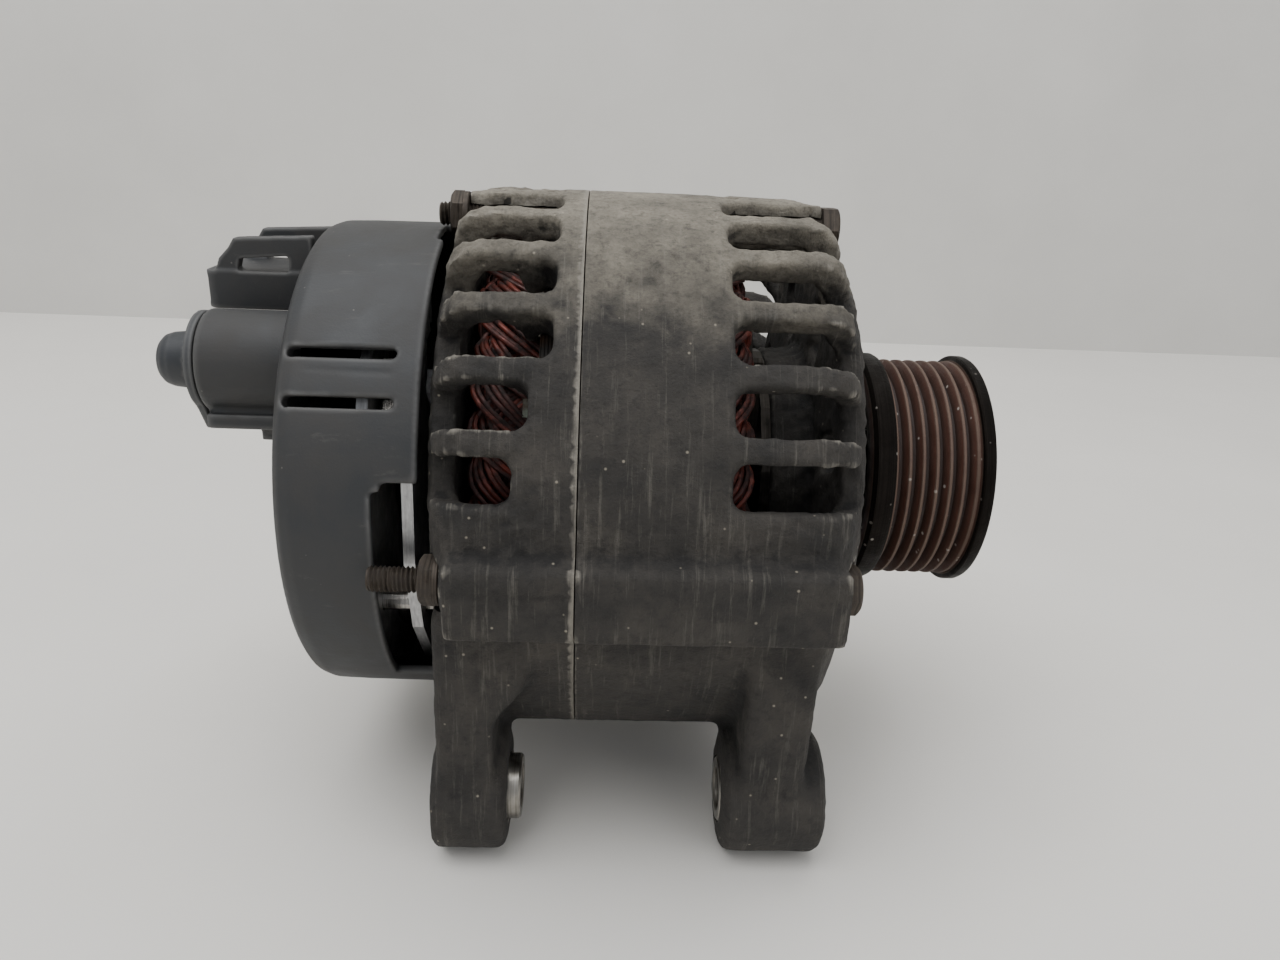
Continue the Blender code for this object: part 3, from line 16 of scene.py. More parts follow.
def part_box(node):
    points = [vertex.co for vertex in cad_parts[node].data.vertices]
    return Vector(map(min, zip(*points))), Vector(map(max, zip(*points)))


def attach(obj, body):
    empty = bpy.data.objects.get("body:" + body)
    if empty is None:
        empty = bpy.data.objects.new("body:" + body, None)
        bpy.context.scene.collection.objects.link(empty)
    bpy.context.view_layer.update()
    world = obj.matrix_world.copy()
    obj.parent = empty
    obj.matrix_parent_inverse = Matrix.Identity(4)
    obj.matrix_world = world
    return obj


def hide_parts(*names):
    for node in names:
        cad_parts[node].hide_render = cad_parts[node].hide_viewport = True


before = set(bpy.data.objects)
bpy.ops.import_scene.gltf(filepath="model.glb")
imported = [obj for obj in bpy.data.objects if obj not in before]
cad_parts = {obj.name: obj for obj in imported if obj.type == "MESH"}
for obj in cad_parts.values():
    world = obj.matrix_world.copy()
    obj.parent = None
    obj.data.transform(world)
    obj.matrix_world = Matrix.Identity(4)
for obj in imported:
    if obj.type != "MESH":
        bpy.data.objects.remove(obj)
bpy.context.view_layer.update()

bl_info = {
    "name": "Car Alternator",
    "version": (1, 0, 0),
    "blender": (4, 5, 0),
    "location": "View3D > Sidebar > Alternator",
    "description": "Models and finishes a belt-driven car alternator round its packed frame",
    "category": "Object",
}

MM = 0.001


# ---- places read from the frame, in millimetres ----
def middle(node):
    """Middle of a node's box, in metres."""
    low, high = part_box(node)
    return (low + high) / 2


CORE = middle("stator_core")


def span(node, axis):
    """A node's lowest and highest place along one axis, in millimetres from the core's middle."""
    low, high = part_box(node)
    index = "xyz".index(axis)
    return (low[index] - CORE[index]) / MM, (high[index] - CORE[index]) / MM


def about(node):
    """Y and z of a node's middle, in millimetres from the rotor's axis."""
    spot = (middle(node) - CORE) / MM
    return spot.y, spot.z


CORE_END = span("stator_core", "x")[1]
SEAM = (span("rear_housing", "x")[1] + span("front_housing", "x")[0]) / 2
FRONT = span("front_housing", "x")[1]
BACK = -CORE_END - 24.0
BAND = span("rear_housing", "z")[1]
SADDLE = span("rear_housing", "y")[1]
RIM = span("rear_cover", "x")[1]
COVER_BACK = -75.0
COVER = span("rear_cover", "y")[1]
BOLTS = [about(f"through_bolt_{index + 1}") for index in range(4)]
BOLT_CIRCLE = math.hypot(*BOLTS[0])
NEAR_EAR = about("rear_ear_bush")
FAR_EAR = (-NEAR_EAR[0], NEAR_EAR[1])
EAR_R = NEAR_EAR[1] - span("front_housing", "z")[0]
STUD = about("terminal_stud")
TUBE_END = span("rear_cover", "x")[0]
REAR_EAR = (-41.5, -23.3)
FRONT_EAR = (30.0, 55.0)
PLATE = BAND - 12.9
CORE_R = span("stator_core", "y")[1]
LIP = CORE_R - 3.0
RIBS = 28
RIB_PHASE = 8.3
NUT_SEAT = span("bolt_nut_1", "x")[1] + 0.3
HEAD_SEAT = FRONT - 6.0
BOLT_HOLE = 3.3
WELL_ANGLES = (-28, -105, -182)
WELL_CIRCLE = 50.0
EDGE_GAIN = 1.6


def place(x, y, z):
    """A point in metres from millimetres about the core's middle."""
    return CORE + Vector((x, y, z)) * MM


def side(angle, radius):
    """Y and z of a point at a side angle and radius."""
    turn = math.radians(angle)
    return -radius * math.cos(turn), radius * math.sin(turn)


def linear(code):
    """An sRGB hex colour as linear red, green, blue and alpha."""
    values = [int(code[index:index + 2], 16) / 255 for index in (1, 3, 5)]
    return (*[v / 12.92 if v <= 0.04045 else ((v + 0.055) / 1.055) ** 2.4 for v in values], 1.0)


# ---- modelling ----
def start_from(obj):
    """Selects one object alone and makes it active."""
    bpy.ops.object.select_all(action="DESELECT")
    obj.select_set(True)
    bpy.context.view_layer.objects.active = obj
    return obj


def outline_object(name, points, fill):
    """A closed outline through points in metres, filled or left as a wire."""
    bpy.ops.object.select_all(action="DESELECT")
    bpy.ops.mesh.primitive_circle_add(vertices=len(points), fill_type=fill, location=(0, 0, 0))
    obj = bpy.context.object
    obj.name = name
    for vert, point in zip(obj.data.vertices, points):
        vert.co = point
    return obj


def turned(name, outline, steps=96, centre=(0.0, 0.0), tilt=0.0):
    """Spins a closed outline of (x, radius) points about a line along X."""
    lean = math.radians(tilt)
    points = [place(x, centre[0] + radius * math.sin(lean), centre[1] + radius * math.cos(lean))
              for x, radius in outline]
    obj = outline_object(name, points, "NOTHING")
    bpy.ops.object.mode_set(mode="EDIT")
    bpy.ops.mesh.select_all(action="SELECT")
    bpy.ops.mesh.spin(steps=steps, angle=math.tau, center=place(0, *centre), axis=(1, 0, 0))
    bpy.ops.mesh.select_all(action="SELECT")
    bpy.ops.mesh.remove_doubles(threshold=1e-6)
    bpy.ops.mesh.delete_loose(use_verts=True, use_edges=True, use_faces=False)
    bpy.ops.mesh.select_all(action="SELECT")
    bpy.ops.mesh.normals_make_consistent(inside=False)
    bpy.ops.object.mode_set(mode="OBJECT")
    return obj


def rod(name, low, high, radius, steps=48, centre=(0.0, 0.0), soft=0.0):
    """A solid round bar along X, its ends' edges broken by soft."""
    ends = [(low, 0), (low, radius - soft), (low + soft, radius), (high - soft, radius),
            (high, radius - soft), (high, 0)]
    if soft == 0:
        ends = [(low, 0), (low, radius), (high, radius), (high, 0)]
    return turned(name, ends, steps, centre)


def pushed(name, points, direction):
    """Fills an outline of points in metres and extrudes it along a vector in metres."""
    obj = outline_object(name, points, "NGON")
    bpy.ops.object.mode_set(mode="EDIT")
    bpy.ops.mesh.select_all(action="SELECT")
    bpy.ops.mesh.extrude_region_move(TRANSFORM_OT_translate={"value": direction})
    bpy.ops.mesh.select_all(action="SELECT")
    bpy.ops.mesh.normals_make_consistent(inside=False)
    bpy.ops.object.mode_set(mode="OBJECT")
    return obj


def slab(name, outline, axis, low, high):
    """Extrudes an outline, given in the other two axes' order, along X, Y or Z."""
    index = "XYZ".index(axis)
    points = []
    for pair in outline:
        spot = list(pair)
        spot.insert(index, low)
        points.append(place(*spot))
    way = Vector((0, 0, 0))
    way[index] = (high - low) * MM
    return pushed(name, points, way)


def box(name, x, y, z):
    """A box from three (low, high) pairs."""
    return slab(name, [(x[0], y[0]), (x[1], y[0]), (x[1], y[1]), (x[0], y[1])], "Z", z[0], z[1])


def rounded(x, across, radius, corners=(True, True), steps=4):
    """A rectangle outline with round corners at its low and high x ends."""
    points = []
    spots = [(x[1], across, 0, corners[1]), (x[0], across, 90, corners[0]),
             (x[0], -across, 180, corners[0]), (x[1], -across, 270, corners[1])]
    for end, half, first, round_it in spots:
        if not round_it:
            points.append((end, half))
            continue
        inward_x = end - math.copysign(radius, end - sum(x) / 2)
        inward_y = half - math.copysign(radius, half)
        for step in range(steps + 1):
            angle = math.radians(first + 90 * step / steps)
            points.append((inward_x + radius * math.cos(angle), inward_y + radius * math.sin(angle)))
    return points


def outward(name, outline, low, high, angle):
    """Extrudes an (x, across) outline from one radius to another at a side angle."""
    out = Vector((0, *side(angle, 1.0)))
    across = Vector((0, *side(angle + 90, 1.0)))
    points = [CORE + (Vector((x, 0, 0)) + across * half + out * low) * MM for x, half in outline]
    return pushed(name, points, out * (high - low) * MM)


def turned_copy(obj, angle):
    """A copy with its own mesh, turned about the rotor's axis."""
    twin = obj.copy()
    twin.data = obj.data.copy()
    bpy.context.scene.collection.objects.link(twin)
    twin.data.transform(Matrix.Translation(CORE) @ Matrix.Rotation(math.radians(angle), 4, "X")
                        @ Matrix.Translation(-CORE))
    return twin


def joined(name, parts):
    """Joins several objects into one mesh."""
    bpy.ops.object.select_all(action="DESELECT")
    for part in parts:
        part.select_set(True)
    bpy.context.view_layer.objects.active = parts[0]
    if len(parts) > 1:
        bpy.ops.object.join()
    parts[0].name = name
    return parts[0]


def shaped(obj, kind, **settings):
    """Adds a modifier with its settings and applies it."""
    start_from(obj)
    bpy.ops.object.modifier_add(type=kind)
    step = obj.modifiers[-1]
    for key, value in settings.items():
        setattr(step, key, value)
    bpy.ops.object.modifier_apply(modifier=step.name)
    return obj


def combined(obj, operation, *tools):
    """Joins tools to an object, or cuts them from it, one after another."""
    for tool in tools:
        shaped(tool, "TRIANGULATE")
        shaped(obj, "TRIANGULATE")
        shaped(obj, "BOOLEAN", operation=operation, solver="EXACT", object=tool)
        bpy.data.objects.remove(tool, do_unlink=True)
    return obj


def softened(obj, grain, rounds, most=190000):
    """Gives a shape the small radii of a casting or moulding: an even skin, relaxed and thinned."""
    shaped(obj, "REMESH", mode="VOXEL", voxel_size=grain * MM, adaptivity=0.0)
    shaped(obj, "SMOOTH", factor=0.5, iterations=rounds)
    count = sum(len(face.vertices) - 2 for face in obj.data.polygons)
    if count > most:
        shaped(obj, "DECIMATE", ratio=most / count)
    return obj


def neighbours(obj):
    """Positions, normals, edge ends and edge counts of a mesh, as arrays."""
    mesh = obj.data
    spots = np.empty(len(mesh.vertices) * 3, np.float32)
    mesh.vertices.foreach_get("co", spots)
    normals = np.empty(len(mesh.vertices) * 3, np.float32)
    mesh.vertices.foreach_get("normal", normals)
    ends = np.empty(len(mesh.edges) * 2, np.int32)
    mesh.edges.foreach_get("vertices", ends)
    ends = ends.reshape(-1, 2)
    counts = np.bincount(ends.ravel(), minlength=len(mesh.vertices)).astype(np.float32)
    return spots.reshape(-1, 3), normals.reshape(-1, 3), ends, np.maximum(counts, 1)


def averaged(values, ends, counts, rounds):
    """Spreads values over a mesh's edges."""
    for _ in range(rounds):
        total = np.zeros_like(values)
        np.add.at(total, ends[:, 0], values[ends[:, 1]])
        np.add.at(total, ends[:, 1], values[ends[:, 0]])
        share = counts if values.ndim == 1 else counts[:, None]
        values = 0.5 * values + 0.5 * total / share
    return values


def mark_edges(obj, gain=1.0):
    """Stores how sharply each point stands out (edge) or lies in (hollow), from 0 to 1."""
    spots, normals, ends, counts = neighbours(obj)
    reach = spots[ends[:, 1]] - spots[ends[:, 0]]
    turn = ((normals[ends[:, 1]] - normals[ends[:, 0]]) * reach).sum(axis=1)
    bend = turn / np.maximum((reach ** 2).sum(axis=1), 1e-12) * MM
    bulge = np.zeros(len(spots), np.float32)
    for column in (0, 1):
        np.add.at(bulge, ends[:, column], bend)
    bulge = averaged(bulge / counts, ends, counts, 2) * gain * EDGE_GAIN
    # hollow later darkens the cast shells' hollows as painted shade
    for label, values in (("edge", bulge), ("hollow", -bulge)):
        store = obj.data.attributes.new(label, "FLOAT", "POINT")
        store.data.foreach_set("value", np.clip(values, 0, 1).astype(np.float32))
    return obj


def roughened(obj, size, depth, where=None, seed=0.0):
    """Moves points along their normals by noise of a size and depth in millimetres."""
    spots, normals, _, _ = neighbours(obj)
    shift = Vector((seed, seed, seed))
    scale = 1 / (size * MM)
    heights = np.array([noise.noise(Vector(spot) * scale + shift) for spot in spots.tolist()], np.float32)
    if where is not None:
        heights = heights * where(spots)
    spots = spots + normals * (heights * depth * MM)[:, None]
    obj.data.vertices.foreach_set("co", spots.astype(np.float32).ravel())
    obj.data.update()
    return obj


def done(obj, name, material, body, slot, *nodes, smooth=40.0):
    """Names and finishes a piece, seats it on its body and puts it in place of its nodes."""
    obj.name = name
    obj.data.name = name
    obj.data.materials.clear()
    obj.data.materials.append(material)
    start_from(obj)
    bpy.ops.object.shade_smooth_by_angle(angle=math.radians(smooth))
    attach(obj, body)
    if nodes:
        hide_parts(*nodes)
    return obj


def paint(material, *nodes):
    """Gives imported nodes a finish."""
    for name in nodes:
        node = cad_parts[name]
        if not node.material_slots:
            node.data.materials.append(material)
        for slot in node.material_slots:
            slot.material = material


# ---- finishes ----
def add(tree, kind, feeds=None, **settings):
    """Adds a shader node with its settings, and sets or links its inputs."""
    node = tree.nodes.new(kind)
    for key, value in settings.items():
        setattr(node, key, value)
    for key, value in (feeds or {}).items():
        if isinstance(value, bpy.types.NodeSocket):
            tree.links.new(value, node.inputs[key])
        else:
            node.inputs[key].default_value = value
    return node


def new_finish(name):
    """A material with its shader and the object's own coordinates."""
    material = bpy.data.materials.get(name)
    if material:
        bpy.data.materials.remove(material)
    material = bpy.data.materials.new(name)
    material.use_nodes = True
    tree = material.node_tree
    shader = tree.nodes["Principled BSDF"]
    spot = add(tree, "ShaderNodeTexCoord").outputs["Object"]
    return material, tree, shader, spot


def grimy_cast_aluminium(lint):
    """Sand-blasted aluminium casting under years of oily dust: dull, dark low down, paler on top with
    painted light from above, and darkened in its hollows with painted shade.
    """
    material, tree, shader, spot = new_finish("grimy_cast_aluminium")
    split = add(tree, "ShaderNodeSeparateXYZ", {0: spot})
    patch = add(tree, "ShaderNodeTexNoise", {"Vector": spot, "Scale": 1 / 0.017, "Detail": 6.0,
                                             "Roughness": 0.62})
    grit = add(tree, "ShaderNodeTexNoise", {"Vector": spot, "Scale": 1 / 0.0011, "Detail": 4.0,
                                            "Roughness": 0.7})
    # wiped round the band: long marks across the axis, under a millimetre wide along it
    wiped = add(tree, "ShaderNodeMapping", {"Vector": spot, "Scale": (1 / 0.0013, 1 / 0.03, 1 / 0.022)})
    streak = add(tree, "ShaderNodeTexNoise", {"Vector": wiped.outputs[0], "Scale": 1.0, "Detail": 5.0,
                                              "Roughness": 0.75, "Distortion": 0.3})
    colour = add(tree, "ShaderNodeMapRange", {0: patch.outputs[0], 1: 0.35, 2: 0.68})
    base = add(tree, "ShaderNodeMix", {0: colour.outputs[0], 6: linear("#1d1b19"), 7: linear("#3a3631")},
               data_type="RGBA")
    # painted light from above: the upper quarter turns pale, speckled by the grit noise
    top_light_height = add(tree, "ShaderNodeMath", {0: patch.outputs[0], 1: 0.055, 2: split.outputs["Z"]},
                 operation="MULTIPLY_ADD")
    high = add(tree, "ShaderNodeMapRange", {0: top_light_height.outputs[0], 1: 0.158, 2: 0.190})
    # oxide here is the colour of the painted light on the top, speckled by grit
    oxide = add(tree, "ShaderNodeMix", {0: grit.outputs[0], 6: linear("#5c564b"), 7: linear("#a29b8c")},
                data_type="RGBA")
    lit_top = add(tree, "ShaderNodeMix", {0: high.outputs[0], 6: base.outputs[2], 7: oxide.outputs[2]},
                data_type="RGBA")
    marks = add(tree, "ShaderNodeMapRange", {0: streak.outputs[0], 1: 0.55, 2: 0.80, 4: 0.55})
    streaked = add(tree, "ShaderNodeMix", {0: marks.outputs[0], 6: lit_top.outputs[2],
                                           7: linear("#77736a")}, data_type="RGBA")
    # lint and soot as dark fuzz on the ribs, with painted shade darkening the hollows
    hollow = add(tree, "ShaderNodeAttribute", attribute_name="hollow")
    fuzz = add(tree, "ShaderNodeTexNoise", {"Vector": spot, "Scale": 1 / 0.0024, "Detail": 5.0,
                                            "Roughness": 0.8})
    lint_and_hollow_shade = add(tree, "ShaderNodeMath", {0: hollow.outputs["Fac"], 1: 1.2, 2: fuzz.outputs[0]},
                 operation="MULTIPLY_ADD")
    # lint sets how dark both the lint and the painted shade in the hollows become
    soot_and_shade = add(tree, "ShaderNodeMapRange", {0: lint_and_hollow_shade.outputs[0], 1: 0.5, 2: 0.78, 4: lint})
    sooty_and_shaded = add(tree, "ShaderNodeMix", {0: soot_and_shade.outputs[0], 6: streaked.outputs[2], 7: linear("#110f0e")},
                data_type="RGBA")
    # handling has rubbed the corners back to metal
    edge = add(tree, "ShaderNodeAttribute", attribute_name="edge")
    rubbed = add(tree, "ShaderNodeMath", {0: edge.outputs["Fac"], 1: streak.outputs[0]},
                 operation="MULTIPLY")
    bare = add(tree, "ShaderNodeMapRange", {0: rubbed.outputs[0], 1: 0.24, 2: 0.50, 4: 0.7})
    worn = add(tree, "ShaderNodeMix", {0: bare.outputs[0], 6: sooty_and_shaded.outputs[2], 7: linear("#8f8a80")},
               data_type="RGBA")
    chips = add(tree, "ShaderNodeTexVoronoi", {"Vector": spot, "Scale": 1 / 0.0048, "Randomness": 1.0})
    speck = add(tree, "ShaderNodeMapRange", {0: chips.outputs["Distance"], 1: 0.085, 2: 0.04, 4: 0.45})
    flecked = add(tree, "ShaderNodeMix", {0: speck.outputs[0], 6: worn.outputs[2], 7: linear("#b3aa98")},
                  data_type="RGBA")
    dull = add(tree, "ShaderNodeMapRange", {0: bare.outputs[0], 3: 0.82, 4: 0.42})
    metal = add(tree, "ShaderNodeMath", {0: bare.outputs[0], 1: 0.8}, operation="MULTIPLY")
    rise = add(tree, "ShaderNodeMath", {0: fuzz.outputs[0], 1: 1.6, 2: grit.outputs[0]},
               operation="MULTIPLY_ADD")
    bump = add(tree, "ShaderNodeBump", {"Strength": 0.75, "Distance": 0.0005, "Height": rise.outputs[0]})
    tree.links.new(flecked.outputs[2], shader.inputs["Base Color"])
    tree.links.new(dull.outputs[0], shader.inputs["Roughness"])
    tree.links.new(metal.outputs[0], shader.inputs["Metallic"])
    tree.links.new(bump.outputs[0], shader.inputs["Normal"])
    return material


def moulded_plastic(name, body, dusty, grain=0.0006, gloss=0.5, dust=0.35):
    """Injection-moulded glass-filled polyamide: dark, faintly grained, dulled by dust and finger marks."""
    material, tree, shader, spot = new_finish(name)
    cloud = add(tree, "ShaderNodeTexNoise", {"Vector": spot, "Scale": 1 / 0.021, "Detail": 7.0,
                                             "Roughness": 0.65, "Distortion": 0.6})
    fine = add(tree, "ShaderNodeTexNoise", {"Vector": spot, "Scale": 1 / grain, "Detail": 3.0})
    edge = add(tree, "ShaderNodeAttribute", attribute_name="edge")
    wiped = add(tree, "ShaderNodeMapping", {"Vector": spot, "Scale": (1 / 0.018, 1 / 0.0022, 1 / 0.009),
                                            "Rotation": (0.3, 0.5, 0.2)})
    scuff = add(tree, "ShaderNodeTexNoise", {"Vector": wiped.outputs[0], "Scale": 1.0, "Detail": 6.0,
                                             "Roughness": 0.8})
    film = add(tree, "ShaderNodeMapRange", {0: cloud.outputs[0], 1: 0.40, 2: 0.72, 4: dust})
    base = add(tree, "ShaderNodeMix", {0: film.outputs[0], 6: linear(body), 7: linear(dusty)},
               data_type="RGBA")
    marks = add(tree, "ShaderNodeMapRange", {0: scuff.outputs[0], 1: 0.60, 2: 0.76, 4: 0.35})
    marked = add(tree, "ShaderNodeMix", {0: marks.outputs[0], 6: base.outputs[2], 7: linear("#5f5c57")},
                 data_type="RGBA")
    pale = add(tree, "ShaderNodeMapRange", {0: edge.outputs["Fac"], 1: 0.15, 2: 0.8, 4: 0.35})
    edged = add(tree, "ShaderNodeMix", {0: pale.outputs[0], 6: marked.outputs[2], 7: linear("#6d6c6a")},
                data_type="RGBA")
    specks = add(tree, "ShaderNodeTexVoronoi", {"Vector": spot, "Scale": 1 / 0.0052})
    speck = add(tree, "ShaderNodeMapRange", {0: specks.outputs["Distance"], 1: 0.05, 2: 0.03, 4: 0.3})
    dotted = add(tree, "ShaderNodeMix", {0: speck.outputs[0], 6: edged.outputs[2], 7: linear("#8b877f")},
                 data_type="RGBA")
    dull = add(tree, "ShaderNodeMapRange", {0: cloud.outputs[0], 1: 0.3, 2: 0.75, 3: gloss,
                                            4: gloss + 0.25})
    rise = add(tree, "ShaderNodeMath", {0: cloud.outputs[0], 1: 2.0, 2: fine.outputs[0]},
               operation="MULTIPLY_ADD")
    bump = add(tree, "ShaderNodeBump", {"Strength": 0.28, "Distance": 0.00015, "Height": rise.outputs[0]})
    tree.links.new(dotted.outputs[2], shader.inputs["Base Color"])
    tree.links.new(dull.outputs[0], shader.inputs["Roughness"])
    tree.links.new(bump.outputs[0], shader.inputs["Normal"])
    return material


def rusty_pulley_steel(crest, valley):
    """Turned steel, blackened: brown rust deep in the grooves, crests polished and scored by the belt."""
    material, tree, shader, spot = new_finish("rusty_pulley_steel")
    centred = add(tree, "ShaderNodeMapping", {"Vector": spot, "Location": (0, 0, -CORE.z)})
    split = add(tree, "ShaderNodeSeparateXYZ", {0: centred.outputs[0]})
    flat = add(tree, "ShaderNodeCombineXYZ", {1: split.outputs["Y"], 2: split.outputs["Z"]})
    radius = add(tree, "ShaderNodeVectorMath", {0: flat.outputs[0]}, operation="LENGTH").outputs["Value"]
    blotch = add(tree, "ShaderNodeTexNoise", {"Vector": spot, "Scale": 1 / 0.006, "Detail": 7.0,
                                              "Roughness": 0.7})
    grit = add(tree, "ShaderNodeTexNoise", {"Vector": spot, "Scale": 1 / 0.0007, "Detail": 3.0})
    ring = add(tree, "ShaderNodeMapping", {"Vector": spot, "Scale": (1 / 0.00035, 1 / 0.05, 1 / 0.05)})
    score = add(tree, "ShaderNodeTexNoise", {"Vector": ring.outputs[0], "Scale": 1.0, "Detail": 4.0})
    rust = add(tree, "ShaderNodeMix", {0: blotch.outputs[0], 6: linear("#24140e"), 7: linear("#552f20")},
               data_type="RGBA")
    # the belt keeps the flanks browner than the crests
    height = add(tree, "ShaderNodeMapRange", {0: radius, 1: valley * MM, 2: (crest - 0.5) * MM})
    flank = add(tree, "ShaderNodeMix", {0: height.outputs[0], 6: linear("#2a1b15"), 7: rust.outputs[2]},
                data_type="RGBA")
    polish = add(tree, "ShaderNodeMapRange", {0: radius, 1: (crest - 0.35) * MM, 2: (crest - 0.05) * MM})
    broken = add(tree, "ShaderNodeMapRange", {0: blotch.outputs[0], 1: 0.32, 2: 0.6, 3: 0.25, 4: 1.0})
    shine = add(tree, "ShaderNodeMath", {0: polish.outputs[0], 1: broken.outputs[0]},
                operation="MULTIPLY")
    topped = add(tree, "ShaderNodeMix", {0: shine.outputs[0], 6: flank.outputs[2], 7: linear("#6f5f55")},
                 data_type="RGBA")
    # flanges and web keep their black oxide
    past = add(tree, "ShaderNodeMapRange", {0: radius, 1: (crest + 0.15) * MM, 2: (crest + 0.45) * MM})
    inside = add(tree, "ShaderNodeMapRange", {0: radius, 1: (valley - 0.9) * MM, 2: (valley - 0.4) * MM,
                                              3: 1.0, 4: 0.0})
    black = add(tree, "ShaderNodeMath", {0: past.outputs[0], 1: inside.outputs[0]}, operation="MAXIMUM")
    oxide = add(tree, "ShaderNodeMix", {0: score.outputs[0], 6: linear("#0e0d0c"), 7: linear("#2a2623")},
                data_type="RGBA")
    colour = add(tree, "ShaderNodeMix", {0: black.outputs[0], 6: topped.outputs[2], 7: oxide.outputs[2]},
                 data_type="RGBA")
    edge = add(tree, "ShaderNodeAttribute", attribute_name="edge")
    rubbed = add(tree, "ShaderNodeMapRange", {0: edge.outputs["Fac"], 1: 0.35, 2: 0.95, 4: 0.55})
    worn_black = add(tree, "ShaderNodeMath", {0: rubbed.outputs[0], 1: black.outputs[0]},
                     operation="MULTIPLY")
    worn = add(tree, "ShaderNodeMix", {0: worn_black.outputs[0], 6: colour.outputs[2],
                                       7: linear("#9b948c")}, data_type="RGBA")
    chips = add(tree, "ShaderNodeTexVoronoi", {"Vector": spot, "Scale": 1 / 0.0042})
    speck = add(tree, "ShaderNodeMapRange", {0: chips.outputs["Distance"], 1: 0.13, 2: 0.07, 4: 0.6})
    flecked = add(tree, "ShaderNodeMix", {0: speck.outputs[0], 6: worn.outputs[2], 7: linear("#b9b2aa")},
                  data_type="RGBA")
    dull = add(tree, "ShaderNodeMapRange", {0: blotch.outputs[0], 1: 0.3, 2: 0.7, 3: 0.48, 4: 0.76})
    metal = add(tree, "ShaderNodeMath", {0: shine.outputs[0], 1: black.outputs[0]}, operation="MAXIMUM")
    rise = add(tree, "ShaderNodeMath", {0: score.outputs[0], 1: 0.8, 2: grit.outputs[0]},
               operation="MULTIPLY_ADD")
    bump = add(tree, "ShaderNodeBump", {"Strength": 0.45, "Distance": 0.0002, "Height": rise.outputs[0]})
    tree.links.new(flecked.outputs[2], shader.inputs["Base Color"])
    tree.links.new(dull.outputs[0], shader.inputs["Roughness"])
    tree.links.new(metal.outputs[0], shader.inputs["Metallic"])
    tree.links.new(bump.outputs[0], shader.inputs["Normal"])
    return material


def plain_metal(name, dark, light, roughness, metallic=1.0, across=0.0005, along=0.02, depth=0.00008,
                dirt="#2a2522", dirty=0.0):
    """Machined or pressed metal: fine tool marks round the axis, tarnish in clouds, dirt in patches."""
    material, tree, shader, spot = new_finish(name)
    tooled = add(tree, "ShaderNodeMapping", {"Vector": spot, "Scale": (1 / across, 1 / along, 1 / along)})
    lines = add(tree, "ShaderNodeTexNoise", {"Vector": tooled.outputs[0], "Scale": 1.0, "Detail": 3.0})
    cloud = add(tree, "ShaderNodeTexNoise", {"Vector": spot, "Scale": 1 / 0.004, "Detail": 6.0,
                                             "Roughness": 0.65})
    mix = add(tree, "ShaderNodeMath", {0: lines.outputs[0], 1: cloud.outputs[0]}, operation="MULTIPLY")
    tone = add(tree, "ShaderNodeMapRange", {0: mix.outputs[0], 1: 0.12, 2: 0.42})
    base = add(tree, "ShaderNodeMix", {0: tone.outputs[0], 6: linear(dark), 7: linear(light)},
               data_type="RGBA")
    film = add(tree, "ShaderNodeMapRange", {0: cloud.outputs[0], 1: 0.62 - 0.3 * dirty,
                                            2: 0.80 - 0.3 * dirty, 4: dirty})
    soiled = add(tree, "ShaderNodeMix", {0: film.outputs[0], 6: base.outputs[2], 7: linear(dirt)},
                 data_type="RGBA")
    shine = add(tree, "ShaderNodeMapRange", {0: film.outputs[0], 3: metallic, 4: metallic * 0.2})
    dull = add(tree, "ShaderNodeMapRange", {0: film.outputs[0], 3: roughness, 4: 0.85})
    rise = add(tree, "ShaderNodeMath", {0: lines.outputs[0], 1: cloud.outputs[0]}, operation="ADD")
    bump = add(tree, "ShaderNodeBump", {"Strength": 0.5, "Distance": depth, "Height": rise.outputs[0]})
    tree.links.new(soiled.outputs[2], shader.inputs["Base Color"])
    tree.links.new(dull.outputs[0], shader.inputs["Roughness"])
    tree.links.new(shine.outputs[0], shader.inputs["Metallic"])
    tree.links.new(bump.outputs[0], shader.inputs["Normal"])
    return material


def enamelled_wire():
    """Copper wire in amber-red enamel and dipping varnish: glossy where clean, most of it dusted dark."""
    material, tree, shader, spot = new_finish("enamelled_copper_wire")
    tint = add(tree, "ShaderNodeAttribute", attribute_name="tint")
    dust = add(tree, "ShaderNodeTexNoise", {"Vector": spot, "Scale": 1 / 0.0035, "Detail": 5.0,
                                            "Roughness": 0.7})
    enamel = add(tree, "ShaderNodeMix", {0: tint.outputs["Fac"], 6: linear("#3c1712"),
                                         7: linear("#7c3425")}, data_type="RGBA")
    film = add(tree, "ShaderNodeMapRange", {0: dust.outputs[0], 1: 0.36, 2: 0.60, 4: 0.9})
    dusty = add(tree, "ShaderNodeMix", {0: film.outputs[0], 6: enamel.outputs[2], 7: linear("#1d1715")},
                data_type="RGBA")
    dull = add(tree, "ShaderNodeMapRange", {0: film.outputs[0], 3: 0.32, 4: 0.8})
    bump = add(tree, "ShaderNodeBump", {"Strength": 0.4, "Distance": 0.0001, "Height": dust.outputs[0]})
    tree.links.new(dusty.outputs[2], shader.inputs["Base Color"])
    tree.links.new(dull.outputs[0], shader.inputs["Roughness"])
    tree.links.new(bump.outputs[0], shader.inputs["Normal"])
    shader.inputs["Metallic"].default_value = 0.25
    return material


